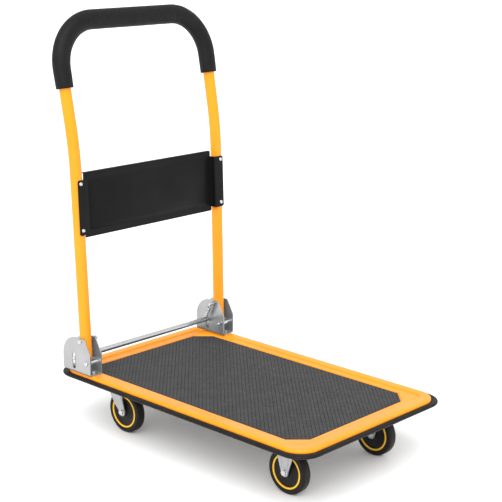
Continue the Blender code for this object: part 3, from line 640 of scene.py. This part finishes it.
def build_mat():
    """The mat's pads and grooves as one skin, cut to the mat's outline and closed below."""
    half_x, half_y = MAT_HIGH.x, MAT_HIGH.y
    top, bottom = MAT_HIGH.z, MAT_LOW.z
    turn = math.sqrt(0.5)
    count = 2 * math.ceil((half_x + half_y) * turn / PAD_PITCH)
    lines = mat_heights(count)
    points, index = [], {}
    reach = 2 * PAD_PITCH
    for i, (p, p_top) in enumerate(lines):
        for j, (q, q_top) in enumerate(lines):
            x, y = (p + q) * turn, (p - q) * turn
            if abs(x) < half_x + reach and abs(y) < half_y + reach:
                index[i, j] = len(points)
                points.append((x, y, top if p_top and q_top else top - GROOVE_DEPTH))
    faces = []
    for i in range(len(lines) - 1):
        for j in range(len(lines) - 1):
            corners = [index.get(key) for key in ((i, j), (i, j + 1), (i + 1, j + 1), (i + 1, j))]
            if None not in corners:
                faces.append(corners)
    mesh = bpy.data.meshes.new("grid")
    mesh.from_pydata(points, [], faces)
    bm = bmesh.new()
    bm.from_mesh(mesh)
    bpy.data.meshes.remove(mesh)
    cut_x, cut_y = half_x - MAT_CHAMFER / 2, half_y - MAT_CHAMFER / 2
    planes = [((half_x, 0), (1, 0)), ((-half_x, 0), (-1, 0))]
    planes += [((0, half_y), (0, 1)), ((0, -half_y), (0, -1))]
    planes += [((sx * cut_x, sy * cut_y), (sx, sy)) for sx in (1, -1) for sy in (1, -1)]
    for place, away in planes:
        bmesh.ops.bisect_plane(bm, geom=bm.verts[:] + bm.edges[:] + bm.faces[:], dist=WELD,
                               plane_co=(*place, 0), plane_no=(*away, 0), clear_outer=True)
    rim = {v for edge in bm.edges if edge.is_boundary for v in edge.verts}
    upper = sorted(rim, key=lambda v: math.atan2(v.co.y, v.co.x))
    lower = [bm.verts.new((v.co.x, v.co.y, bottom)) for v in upper]
    for i in range(len(upper)):
        bm.faces.new((upper[i - 1], upper[i], lower[i], lower[i - 1]))
    bm.faces.new(lower)
    bmesh.ops.recalc_face_normals(bm, faces=bm.faces)
    piece("mat_skin", bm, MAT, "platform", ["deck_mat"], sharp=25)


def build_bumper():
    """A D-section rubber strip all round the deck's edge."""
    middle = (BUMPER_LOW.z + BUMPER_HIGH.z) / 2
    radius = (BUMPER_HIGH.z - BUMPER_LOW.z) / 2
    reach = BUMPER_HIGH.x - DECK_HIGH.x
    section = [(GAP, middle + radius - BUMPER_EASE), (GAP + BUMPER_EASE, middle + radius)]
    section += arc((reach - radius, middle), radius, 90, -90, 14)
    section += [(GAP + BUMPER_EASE, middle - radius), (GAP, middle - radius + BUMPER_EASE)]
    rings = []
    for out, height in section:
        rings.append(rounded_ring(-out, height, radius=DECK_CORNER + out * BUMPER_CORNER_GROWTH))
    piece("bumper_strip", loft(rings, closed=True), BUMPER, "platform", ["bumper"], sharp=50)


def build_ribs():
    """The hat-shaped ribs under the deck, bent from sheet."""
    for name, axis in (("rib_front", "X"), ("rib_rear", "X"), ("rib_centre", "Y")):
        low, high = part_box(name)
        across = 1 if axis == "X" else 0
        middle = (low[across] + high[across]) / 2
        half = (high[across] - low[across]) / 2
        fold = half - RIB_FLANGE
        top, web = high.z - RIB_WALL / 2, low.z + RIB_WALL / 2
        line = [(-half, top), (-fold, top), (-fold, web), (fold, web), (fold, top), (half, top)]
        section = strip_outline([(middle + u, z) for u, z in line], RIB_WALL, RIB_BEND, 4)
        start, end = (low.x, high.x) if axis == "X" else (low.y, high.y)
        piece(f"{name}_sheet", prism(section, axis, start, end), ORANGE, "platform", [name])


# Brackets, pins, rod and springs

def build_bracket(side, sign):
    """A channel bent from sheet, its cheeks cut to shape and slotted for the rod."""
    base = BRACKET_LOW.z
    top = BRACKET_HIGH.z
    front, rear = BRACKET_LOW.y, BRACKET_HIGH.y
    half = BRACKET_SHEET / 2
    x0, x1 = INNER_FACE + half, OUTER_FACE - half
    line = [(x0, top + CUT_MARGIN), (x0, base + half), (x1, base + half), (x1, top + CUT_MARGIN)]
    section = [(sign * x, z) for x, z in strip_outline(line, BRACKET_SHEET, BRACKET_BEND)]
    cheek = [(rear, base - CUT_MARGIN)]
    cheek += arc((rear - BRACKET_ARC, top - BRACKET_ARC), BRACKET_ARC, 0, 90, 28)
    corner = (BRACKET_SHOULDER_Y + 1 * MM, top - BRACKET_CORNER)
    cheek += arc(corner, BRACKET_CORNER, 90, 149, 5)
    cheek += [(front, BRACKET_FRONT_TOP), (front, base - CUT_MARGIN)]
    low, high = sorted(sign * reach for reach in CHEEK_REACH)
    shape = prism(cheek, "X", low, high)
    slot = arc((ROD.y, SLOT_LOW + SLOT_HALF_WIDTH), SLOT_HALF_WIDTH, 180, 360, 10)
    slot += arc((ROD.y, SLOT_HIGH - SLOT_HALF_WIDTH), SLOT_HALF_WIDTH, 0, 180, 10)
    hole = prism(slot, "X", low, high)
    bm = solid(prism(section, "Y", front - CUT_MARGIN, rear + CUT_MARGIN),
               [("INTERSECT", shape), ("DIFFERENCE", hole)])
    piece(f"bracket_sheet_{side}", bm, ZINC, "platform", [f"bracket_{side}"], bevel=SHEET_BEVEL)


def dome(rim, radius, height, whole_steps):
    """(along, radius) of a low dome that ends in a small flat, six steps of that many up it."""
    angles = [math.pi / 2 * i / whole_steps for i in range(1, 7)]
    return [(rim + height * math.sin(angle), radius * math.cos(angle)) for angle in angles]


def pin_profile(face, inner_end, radius, head):
    """(along, radius) of a domed pin from its plain inner end to its head."""
    rim = face + PIN_RIM
    profile = [(inner_end, radius - 0.6 * MM), (inner_end + 0.6 * MM, radius), (face, radius),
               (face, head - 0.3 * MM), (face + 0.3 * MM, head), (rim, head)]
    return profile + dome(rim, head, PIN_DOME, 6.4)


def hex_rings(seat, axis, way, across, stations):
    """Rings up from a seat: (height, None) is a hexagon, and (height, share of across) is round."""
    rings = []
    for height, share in stations:
        here = seat + AXES[axis] * way * height
        if share:
            rings.append(round_ring(here, axis, across * share, 24))
        else:
            rings.append(hex_ring(here, axis, across))
    return rings


def hex_nut(centre, axis, direction, bore, across, thickness):
    """A nut from centre along direction, both faces chamfered round."""
    seat = Vector(centre)
    stations = ((0, NUT_FACE), (0.09 * thickness, None), (0.91 * thickness, None),
                (thickness, NUT_FACE))
    rings = hex_rings(seat, axis, direction, across, stations)
    for height in (thickness, 0):
        rings.append(round_ring(seat + AXES[axis] * direction * height, axis, bore, 24))
    return loft(rings, closed=True)


def build_pins(side, sign):
    """The pivot and stop pins with their nuts, and the sleeve that the leg rests on."""
    face = OUTER_FACE + GAP
    for name, place, radius, head, inner_end in (
            ("pivot", PIVOT, PIVOT_PIN_RADIUS, PIVOT_PIN_HEAD, PIN_LOW.x),
            ("stop", STOP, STOP_PIN_RADIUS, STOP_PIN_HEAD, STOP_LOW.x)):
        profile = [(sign * along, r) for along, r in pin_profile(face, inner_end, radius, head)]
        bm = turned(profile, (0, place.y, place.z), "X")
        piece(f"{name}_pin_turned_{side}", bm, STEEL, "platform", [f"{name}_pin_{side}"])
    for name, place, radius, size in (("pivot", PIVOT, PIVOT_PIN_RADIUS, PIVOT_NUT),
                                      ("stop", STOP, STOP_PIN_RADIUS, STOP_NUT)):
        centre = (sign * (INNER_FACE - GAP), place.y, place.z)
        bm = hex_nut(centre, "X", -sign, radius + 0.1 * MM, *size)
        piece(f"{name}_nut_cut_{side}", bm, ZINC, "platform", [f"{name}_nut_{side}"])
    reach = (OUTER_FACE - INNER_FACE) / 2 - BRACKET_SHEET - GAP
    middle = (OUTER_FACE + INNER_FACE) / 2
    bore = STOP_PIN_RADIUS + 0.2 * MM
    eased = SLEEVE_RADIUS - SLEEVE_EASE
    sleeve = [(-reach, bore), (-reach, eased), (-reach + SLEEVE_EASE, SLEEVE_RADIUS),
              (reach - SLEEVE_EASE, SLEEVE_RADIUS), (reach, eased), (reach, bore)]
    bm = turned(sleeve, (sign * middle, STOP.y, STOP.z), "X", hollow=True)
    piece(f"stop_sleeve_tube_{side}", bm, STEEL, "platform", [f"stop_sleeve_{side}"])


def hex_bolt(x, y, seat, head, shank, under, across):
    """An upright bolt: shank, washer, chamfered hexagon head, and its nut below."""
    centre = Vector((x, y, 0))
    shaft = turned([(under - 6.5 * MM, shank - 0.5 * MM), (under - 6 * MM, shank),
                    (seat + head * 0.6, shank)], centre, "Z", 20)
    washer = turned([(seat, across * 0.62), (seat + 0.8 * MM, across * 0.62),
                     (seat + 1 * MM, across * 0.58)], centre, "Z", 24)
    stations = ((1 * MM, 0.48), (1.3 * MM, None), (head - 0.7 * MM, None), (head - 0.1 * MM, 0.49),
                (head, 0.44))
    cap = loft(hex_rings(Vector((x, y, seat)), "Z", 1, across, stations))
    nut = hex_nut((x, y, under), "Z", -1, shank - 0.05 * MM, across, BASE_NUT_THICK)
    return merged([shaft, washer, cap, nut])


def build_base_bolts(side):
    """The two bolts that hold a bracket down on the deck."""
    for place in ("front", "rear"):
        node = f"base_bolt_{place}_{side}"
        low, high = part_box(node)
        x, y = (low.x + high.x) / 2, (low.y + high.y) / 2
        seat = BRACKET_LOW.z + BRACKET_SHEET + 0.05 * MM
        bm = hex_bolt(x, y, seat, high.z - seat, BASE_BOLT_RADIUS, DECK_HIGH.z - SHEET - GAP,
                      BASE_BOLT_ACROSS)
        piece(f"{node}_cut", bm, ZINC, "platform", [node])


def build_rod():
    """The release rod, turned down at each end where it passes through the brackets' slots."""
    shoulder = INNER_FACE - ROD_SHOULDER_GAP
    end = ROD_HIGH.x
    half = [(shoulder - 1 * MM, ROD_RADIUS), (shoulder - 0.3 * MM, ROD_RADIUS - 0.3 * MM),
            (shoulder, ROD_RADIUS - 1 * MM), (shoulder, ROD_END_RADIUS),
            (end - 0.7 * MM, ROD_END_RADIUS), (end, ROD_END_RADIUS - 0.7 * MM)]
    profile = [(-along, radius) for along, radius in half[::-1]] + half
    piece("release_rod_turned", turned(profile, (0, ROD.y, ROD.z), "X", 40), STEEL, "release_bar",
          ["release_rod"])


def build_spring(side, sign):
    """A close-wound extension spring, hooked over the pivot pin and the release rod."""
    x = sign * SPRING_X
    top = Vector((x, PIVOT.y, PIVOT.z))
    bottom = Vector((x, ROD.y, ROD.z))
    line = (bottom - top).normalized()
    back = line.cross(AXES["X"])
    upper = PIVOT_PIN_RADIUS + SPRING_WIRE + 0.1 * MM
    lower = ROD_RADIUS + SPRING_WIRE + 0.1 * MM
    start = SPRING_TOP_LEAD
    end = (bottom - top).length - SPRING_LOW_LEAD
    path = []
    for i in range(SPRING_HOOK_STEPS + 1):
        angle = math.radians(200 - 200 * i / SPRING_HOOK_STEPS)
        path.append(top - line * upper * math.sin(angle) + back * upper * math.cos(angle))
    path.append(top + line * start * 0.75 + back * SPRING_COIL * 0.9)
    count = SPRING_TURNS * SPRING_COIL_STEPS
    for i in range(count + 1):
        angle = 2 * math.pi * i / SPRING_COIL_STEPS
        round_coil = back * math.cos(angle) + AXES["X"] * math.sin(angle)
        path.append(top + line * (start + (end - start) * i / count) + round_coil * SPRING_COIL)
    path.append(bottom - line * lower * 1.05 + back * lower * 0.6)
    for i in range(SPRING_HOOK_STEPS + 1):
        angle = math.radians(-10 + 200 * i / SPRING_HOOK_STEPS)
        path.append(bottom + line * lower * math.sin(angle) + back * lower * math.cos(angle))
    obj = piece(f"return_spring_{side}", wire(path, SPRING_WIRE), SPRING, None, [f"spring_{side}"],
                sharp=80)
    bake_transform(obj)


# Handle

def leg_place(along, x=0.0):
    """A point on a leg's centre line, that far up from the pivot."""
    knee_length = KNEE_RADIUS * (UPPER_LEAN - LOWER_LEAN)
    low = min(along, KNEE_START)
    y = PIVOT.y + low * math.sin(LOWER_LEAN)
    z = PIVOT.z + low * math.cos(LOWER_LEAN)
    lean = LOWER_LEAN
    if along > KNEE_START:
        lean += min(along - KNEE_START, knee_length) / KNEE_RADIUS
        y += KNEE_RADIUS * (math.cos(LOWER_LEAN) - math.cos(lean))
        z += KNEE_RADIUS * (math.sin(lean) - math.sin(LOWER_LEAN))
    if along > KNEE_START + knee_length:
        rest = along - KNEE_START - knee_length
        y += rest * math.sin(lean)
        z += rest * math.cos(lean)
    return Vector((x, y, z))


def leg_x(along):
    return LEG_X + along * math.tan(LEG_SPLAY)


def bar_distance():
    """How far up the leg the top bar's centre line is."""
    knee_end = KNEE_START + KNEE_RADIUS * (UPPER_LEAN - LOWER_LEAN)
    return knee_end + (BAR_HEIGHT - leg_place(knee_end).z) / math.cos(UPPER_LEAN)


def handle_path(first):
    """The handle's centre line, from that height on the left leg over the bar to the right."""
    bar = bar_distance()
    half = []
    along = first
    corner = bar - BAR_CORNER
    while along < corner - 6 * MM:
        half.append((leg_x(along), along))
        along += 12 * MM
    for i in range(19):
        angle = math.pi / 2 * i / 18
        half.append((leg_x(corner) - BAR_CORNER * (1 - math.cos(angle)),
                     bar - BAR_CORNER * (1 - math.sin(angle))))
    across = half[-1][0]
    half += [(across * (1 - i / 12), bar) for i in range(1, 12)]
    right = [(-x, along) for x, along in half[::-1]]
    return [leg_place(along, x) for x, along in half + [(0.0, bar)] + right]


def panel_frame():
    """Turns (across, up the leg, out to the front) into world places."""
    lean_back = Matrix.Rotation(-LOWER_LEAN, 4, "X")
    upright = Matrix(((1, 0, 0, 0), (0, 0, -1, 0), (0, 1, 0, 0), (0, 0, 0, 1)))
    return Matrix.Translation(PIVOT) @ lean_back @ upright


def with_end_rings(path, edge):
    """The path with one more point close to each end, where the ends are eased."""
    first = path[0] + (path[1] - path[0]).normalized() * edge
    last = path[-1] + (path[-2] - path[-1]).normalized() * edge
    return [path[0], first] + path[1:-1] + [last, path[-1]]


def build_tube():
    """The bent handle tube, from the foot of one leg over the bar to the other."""
    path = with_end_rings(handle_path(-STUB), 0.5 * MM)
    piece("handle_tube_bent", pipe(path, TUBE_RADIUS, TUBE_RADIUS - TUBE_WALL, 36, 0.4 * MM), ORANGE,
          "handle", ["handle_tube"], sharp=60)


def build_grip():
    """The foam sleeve: deeper in the plane of the handle along its bar, and slightly uneven."""
    first = bar_distance() - BAR_CORNER - GRIP_LEG_LENGTH
    path = with_end_rings(handle_path(first), 0.9 * MM)
    bm = pipe(path, GRIP_RADIUS, TUBE_RADIUS + 0.15 * MM, 40, 0.8 * MM)
    leg = (path[2] - path[0]).normalized()
    across = AXES["X"].cross(leg)
    rise = max((p - path[0]).dot(leg) for p in path)
    for v in bm.verts:
        near = min(path, key=lambda p: (p - v.co).length_squared)
        out = v.co - near
        if out.length > TUBE_RADIUS + 2 * MM:
            height = (near - path[0]).dot(leg) / rise
            swell = GRIP_SWELL_END + (GRIP_SWELL_BAR - GRIP_SWELL_END) * height
            v.co += (out - across * out.dot(across)) * swell
            v.co += out.normalized() * GRIP_UNEVEN * noise.noise(v.co * GRIP_LUMPS)
    grip = piece("grip_sleeve", bm, FOAM, "handle", ["grip"], sharp=60)


def build_panel():
    """The sign panel: hemmed plate, raised middle, and sides folded forward into tabs."""
    half_thick = PANEL_THICK / 2
    hem = [(PANEL_LOW + half_thick, -PANEL_HEM), (PANEL_LOW + half_thick, -half_thick),
           (PANEL_HIGH - half_thick, -half_thick), (PANEL_HIGH - half_thick, -PANEL_HEM)]
    end = PANEL_HALF_WIDTH - 2 * MM
    plate = prism(strip_outline(hem, PANEL_THICK, PANEL_BEND, 5), "X", -end, end)
    steps = []
    tab_middle = TUBE_RADIUS + GAP + half_thick
    wall = PANEL_HALF_WIDTH - half_thick
    fold = [(wall - 6 * MM, -half_thick), (wall, -half_thick), (wall, tab_middle),
            (TAB_REACH, tab_middle)]
    corners = rounded_outline(wall - 12 * MM, TAB_REACH, TAB_LOW, TAB_HIGH, TAB_CORNER)
    for _, sign in SIDES:
        section = [(sign * x, out) for x, out in strip_outline(fold, PANEL_THICK, TAB_BEND, 5)]
        flange = prism(section, "Y", TAB_LOW, TAB_HIGH)
        trim = prism([(sign * x, y) for x, y in corners], "Z", -20 * MM, 30 * MM)
        steps.append(("UNION", solid(flange, [("INTERSECT", trim)])))
    rings = []
    half, low, high = EMBOSS
    for grow, height in EMBOSS_RINGS:
        more = grow * MM
        outline = rounded_outline(-half - more, half + more, low - more, high + more,
                                  (EMBOSS_CORNER + grow) * MM, 8)
        rings.append([Vector((x, y, height * MM)) for x, y in outline])
    steps.append(("UNION", loft(rings)))
    bm = moved(solid(plate, steps), panel_frame())
    piece("sign_panel_sheet", bm, PANEL, "handle", ["sign_panel"], bevel=0.3 * MM)


def build_rivets(side, sign):
    """The domed rivets that hold one side of the panel to its leg."""
    face = TUBE_RADIUS + GAP + PANEL_THICK
    seat = face - 0.05 * MM
    rim = face + RIVET_EDGE
    profile = [(face - 4 * MM, RIVET_SHANK), (seat, RIVET_SHANK), (seat, RIVET_HEAD - 0.2 * MM),
               (rim, RIVET_HEAD)]
    profile += dome(rim, RIVET_HEAD, RIVET_DOME, 6.3)
    for place, along in RIVET_HEIGHTS:
        place_matrix = panel_frame() @ Matrix.Translation((sign * leg_x(along), along, 0))
        node = f"rivet_{place}_{side}"
        bm = moved(turned(profile, (0, 0, 0), "Z", 28), place_matrix)
        piece(f"{node}_domed", bm, STEEL, "handle", [node])


# Casters

def build_wheel(end, side):
    """Tyre with a rounded tread, coloured ring and dished hub with a raised boss."""
    name = f"{end}_{side}"
    body = f"wheel_{end}_{side}"
    low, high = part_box(f"tyre_{name}")
    centre = (low + high) / 2
    radius = (high.z - low.z) / 2
    half = TYRE_HALF_WIDTH
    tyre = offsets(half, BAND_OUTER, ((-0.6, -0.1), (0, 0.8))) + [(half, radius - 5 * MM)]
    tyre += arc((half - TREAD_ROUND, radius - TREAD_ROUND), TREAD_ROUND, 0, 80, 8)
    tyre += [(half - 5.5 * MM, radius - 0.02 * MM)]
    band = [(half - 1.2 * MM, BAND_OUTER - 0.1 * MM)]
    middle, bulge = (BAND_OUTER + BAND_INNER) / 2, (BAND_OUTER - BAND_INNER) / 2
    band += arc((half - 1.2 * MM, middle), bulge, 78, -78, 8)
    band += [(half - 1.2 * MM, BAND_INNER + 0.1 * MM)]
    band = [(min(along, half + 0.2 * MM), r) for along, r in band]
    boss = FORK_HALF_GAP - 0.5 * MM
    hub = offsets(half, BAND_INNER, ((-1.6, 0.1), (-1.2, -0.8), (-1.6, -1.6), (-2.6, -3), (-3.2, -8)))
    hub += offsets(half, 0, ((-3.2, 14), (-2.4, 12), (-2.2, 9.4)))
    hub += offsets(boss, 0, ((-0.4, 8.6), (0, 8.2))) + [(boss, AXLE_RADIUS + 0.2 * MM)]
    for layer, profile, segments, finish in (("tyre", tyre, 96, TYRE), ("band", band, 96, BAND),
                                             ("hub", hub, 72, HUB)):
        whole = profile + [(-along, r) for along, r in profile[::-1]]
        bm = turned(whole, centre, "X", segments, hollow=True)
        piece(f"{layer}_ring_{name}", bm, finish, body, [f"{layer}_{name}"])


def build_axle(end, side, sign, centre, body):
    """A hexagon axle bolt with washers, its head outside and its nut inside."""
    name = f"{end}_{side}"
    outside = FORK_HALF_GAP + FORK_SHEET
    shaft = turned([(-outside - 6.8 * MM, AXLE_RADIUS - 0.6 * MM), (-outside - 6.2 * MM, AXLE_RADIUS),
                    (outside + 2 * MM, AXLE_RADIUS)], centre, "X", 24)
    if sign < 0:
        shaft = moved(shaft, Matrix.Translation(centre) @ Matrix.Scale(-1, 4, (1, 0, 0))
                      @ Matrix.Translation(-centre))
        bmesh.ops.reverse_faces(shaft, faces=shaft.faces)
    parts = [shaft]
    for way in (1, -1):
        face = centre + Vector((way * outside, 0, 0))
        ring = [(way * 0.02 * MM, 7.2 * MM), (way * 0.9 * MM, 7.2 * MM),
                (way * AXLE_WASHER, 6.9 * MM)]
        parts.append(turned(ring, face, "X", 28))
    out = Vector((sign, 0, 0))
    reach = out * (outside + AXLE_WASHER)
    stations = ((0, 0.47), (0.3 * MM, None), (2.6 * MM, None), (3.2 * MM, 0.49), (3.3 * MM, 0.42))
    parts.append(loft(hex_rings(centre + reach, "X", sign, AXLE_ACROSS, stations)))
    parts.append(hex_nut(centre - reach, "X", -sign, AXLE_RADIUS - 0.1 * MM, AXLE_ACROSS,
                         AXLE_NUT_THICK))
    piece(f"axle_bolt_{name}", merged(parts), STEEL, body, [f"axle_{name}"])


def fork_sheet(outline, x, top):
    """A sheet bent over the wheel, its side view cut to outline."""
    half = FORK_SHEET / 2
    leg = FORK_HALF_GAP + half
    line = [(x - leg, 0), (x - leg, top - half), (x + leg, top - half), (x + leg, 0)]
    section = strip_outline(line, FORK_SHEET, FORK_BEND)
    ys = [y for y, _ in outline]
    side = prism(outline, "X", x - 30 * MM, x + 30 * MM)
    bent = prism(section, "Y", min(ys) - CUT_MARGIN, max(ys) + CUT_MARGIN)
    return solid(bent, [("INTERSECT", side)])


def bead(x, start, end, radius):
    """A rounded raised line on a fork's cheek at x."""
    a, b = Vector((x, *start)), Vector((x, *end))
    path = [a + (b - a) * i / 8 for i in range(9)]
    radii = [radius * min(1.0, 0.35 + 3 * min(i, 8 - i) / 8) for i in range(9)]
    return loft(swept_rings(path, radii, 10))


def rounded_corner_outline(points, radius, steps=5):
    """An outline with each of its corners rounded where there is room."""
    result = []
    count = len(points)
    for i in range(count):
        corner = Vector(points[i])
        a, b = Vector(points[i - 1]) - corner, Vector(points[(i + 1) % count]) - corner
        half = a.angle(b) / 2
        is_straight = half >= 1.55
        reach = 0 if is_straight else min(radius / math.tan(half), a.length * 0.45, b.length * 0.45)
        if reach < 0.05 * MM:
            result.append(tuple(corner))
            continue
        start, end = corner + a.normalized() * reach, corner + b.normalized() * reach
        for k in range(steps + 1):
            t = k / steps
            result.append(tuple(start * (1 - t) ** 2 + corner * 2 * t * (1 - t) + end * t * t))
    return result


def plate_bolts(end, side, x, y, top):
    """The heads and washers of the four bolts under a caster's plate."""
    across = PLATE_BOLT_ACROSS
    rounded = 4.3 * MM / across
    stations = ((1 * MM, rounded), (1.3 * MM, None), (4 * MM, None), (4.6 * MM, rounded))
    washer = ((0, 6 * MM), (-0.8 * MM, 6 * MM), (-1 * MM, 5.7 * MM))
    spread_x, spread_y = PLATE_BOLT_SPREAD
    parts = []
    for dx in (-1, 1):
        for dy in (-1, 1):
            seat = Vector((x + dx * spread_x, y + dy * spread_y, top - PLATE_THICK))
            parts.append(turned(washer, seat, "Z", 24))
            parts.append(loft(hex_rings(seat, "Z", -1, across, stations)))
    piece(f"plate_bolts_{end}_{side}", merged(parts), ZINC, "platform")


def build_swivel_caster(side, sign):
    """A rear caster: plate, ball race and kingpin on the deck, and a fork that turns below."""
    name = f"rear_{side}"
    x, y, fork_top = JOINTS[f"swivel_rear_{side}"]["pos_m"]
    centre = Vector(JOINTS[f"spin_rear_{side}"]["pos_m"])
    low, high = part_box(f"caster_plate_{name}")
    outline = rounded_outline(low.x, high.x, low.y, high.y, PLATE_CORNER)
    piece(f"caster_plate_cut_{name}", prism(outline, "Z", low.z, high.z), ZINC, "platform",
          [f"caster_plate_{name}"], bevel=0.4 * MM)
    plate_bolts("rear", side, x, y, high.z)
    low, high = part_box(f"swivel_race_{name}")
    radius = (high.x - low.x) / 2
    race = [(low.z, RACE_BORE)]
    race += offsets(low.z, radius, ((0, -3.4), (0.4, -3), (2.2, -0.6), (3, 0), (4, 0), (4.3, -0.8),
                                    (4.7, -0.8), (5, 0)))
    race += offsets(high.z, radius, ((-3, 0), (-2.2, -0.6), (0, -4)))
    race += [(high.z, RACE_BORE)]
    bm = turned(race, (x, y, 0), "Z", 64, hollow=True)
    piece(f"swivel_race_turned_{name}", bm, ZINC, "platform", [f"swivel_race_{name}"])
    low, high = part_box(f"kingpin_{name}")
    head = offsets(low.z, 0, ((0, 4.5), (0, 6.6), (0.4, 7.4), (1.5, 8.9), (1.7, 9)))
    head += [(head[-1][0], KINGPIN_RADIUS), (high.z, KINGPIN_RADIUS)]
    bm = turned(head, (x, y, 0), "Z", 40)
    piece(f"kingpin_turned_{name}", bm, STEEL, "platform", [f"kingpin_{name}"])

    outline = arc((centre.y, centre.z), FORK_TIP, 165, 360, 20)
    shape = offsets(centre.y, centre.z, ((12.5, 4),)) + offsets(y, centre.z, ((-3, 12), (8.5, 28)))
    shape += offsets(y, fork_top, ((20, -6), (20, 0), (-21, 0), (-21, -6)))
    shape += offsets(y, centre.z, ((-25, 29),))
    outline = rounded_corner_outline(outline + shape, FORK_CORNER)
    outline = [(v, min(z, fork_top)) for v, z in outline]
    beads = []
    for way in (1, -1):
        side_x = x + way * (FORK_HALF_GAP + FORK_SHEET)
        beads.append(("UNION", bead(side_x, (centre.y - 5 * MM, centre.z + 9 * MM),
                                    (y - 17 * MM, fork_top - 14 * MM), FORK_BEAD)))
    bm = fork_sheet(outline, x, fork_top)
    piece(f"fork_sheet_{name}", solid(bm, beads), ZINC, f"swivel_{side}", [f"fork_{name}"],
          bevel=SHEET_BEVEL)
    build_axle("rear", side, sign, centre, f"swivel_{side}")
    build_wheel("rear", side)


def build_rigid_caster(side, sign):
    """A front caster: a fork with its plate, fixed under the deck."""
    name = f"front_{side}"
    centre = Vector(JOINTS[f"spin_front_{side}"]["pos_m"])
    x, y = centre.x, centre.y
    low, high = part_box(f"fork_{name}")
    plate_low = high.z - PLATE_THICK
    shoulder = plate_low - 8 * MM
    outline = arc((y, centre.z), FORK_TIP, 190, 350, 20)
    right = offsets(y, centre.z, ((10, 4), (18, 28)))
    right += offsets(y, plate_low, ((22, -8), (26, 1.5)))
    left = [(2 * y - u, v) for u, v in right[::-1]]
    outline = rounded_corner_outline(outline + right + left, FORK_CORNER)
    plate = rounded_outline(low.x, high.x, low.y, high.y, PLATE_CORNER)
    steps = [("UNION", prism(plate, "Z", plate_low, high.z))]
    for way in (1, -1):
        side_x = x + way * (FORK_HALF_GAP + FORK_SHEET)
        for edge in (1, -1):
            steps.append(("UNION", bead(side_x, (y + edge * 5.5 * MM, centre.z + 8 * MM),
                                        (y + edge * 15 * MM, shoulder - 2 * MM), FORK_BEAD)))
    bm = fork_sheet(outline, x, plate_low + 1 * MM)
    piece(f"fork_sheet_{name}", solid(bm, steps), ZINC, "platform", [f"fork_{name}"],
          bevel=SHEET_BEVEL)
    plate_bolts("front", side, x, y, high.z)
    build_axle("front", side, sign, centre, "platform")
    build_wheel("front", side)


# Stage

def build_stage():
    """A pale floor, soft light all round, and one broad soft light from above the camera's left."""
    floor_material = shade("studio floor", (0.95, 0.95, 0.95), (0.97, 0.97, 0.97), (0.7, 0.8), scale=1.5,
                           fine=200, bump=0.02, depth=0.02)
    bm = bmesh.new()
    bmesh.ops.create_grid(bm, x_segments=FLOOR_CELLS, y_segments=FLOOR_CELLS, size=FLOOR_SIZE)
    mesh = bpy.data.meshes.new("floor")
    bm.to_mesh(mesh)
    bm.free()
    floor = bpy.data.objects.new("floor", mesh)
    mesh.materials.append(floor_material)
    bpy.context.scene.collection.objects.link(floor)

    world = bpy.data.worlds.new("studio")
    world.use_nodes = True
    background = world.node_tree.nodes["Background"]
    background.inputs["Color"].default_value = (1, 1, 1, 1)
    background.inputs["Strength"].default_value = SKY_STRENGTH
    bpy.context.scene.world = world

    light = bpy.data.lights.new("softbox", "SUN")
    light.energy = LIGHT_STRENGTH
    light.angle = math.radians(LIGHT_ANGLE)
    lamp = bpy.data.objects.new("softbox", light)
    lamp.rotation_euler = (-Vector(LIGHT_FROM)).to_track_quat("-Z", "Y").to_euler()
    bpy.context.scene.collection.objects.link(lamp)


def build_camera():
    """The photograph's view, from the front right of the cart, looking slightly down."""
    yaw, pitch, roll = (math.radians(angle) for angle in (CAMERA_YAW, CAMERA_PITCH, CAMERA_ROLL))
    ahead = Vector((math.sin(yaw) * math.cos(pitch), math.cos(yaw) * math.cos(pitch),
                    -math.sin(pitch)))
    level = ahead.cross(AXES["Z"]).normalized()
    upright = level.cross(ahead)
    right = level * math.cos(roll) + upright * math.sin(roll)
    up = upright * math.cos(roll) - level * math.sin(roll)
    camera = bpy.data.objects.new("camera", bpy.data.cameras.new("camera"))
    camera.data.lens = CAMERA_LENS
    camera.data.sensor_width = CAMERA_SENSOR
    turn = Matrix((right, up, -ahead)).transposed().to_4x4()
    camera.matrix_world = Matrix.Translation(CAMERA_PLACE) @ turn
    bpy.context.scene.collection.objects.link(camera)
    bpy.context.scene.camera = camera
    bpy.context.scene.view_settings.view_transform = "Standard"


build_camera()
build_stage()
build_deck()
build_mat()
build_bumper()
build_ribs()
build_rod()
build_tube()
build_grip()
build_panel()
for side_name, side_sign in SIDES:
    build_bracket(side_name, side_sign)
    build_pins(side_name, side_sign)
    build_base_bolts(side_name)
    build_spring(side_name, side_sign)
    build_rivets(side_name, side_sign)
    build_swivel_caster(side_name, side_sign)
    build_rigid_caster(side_name, side_sign)
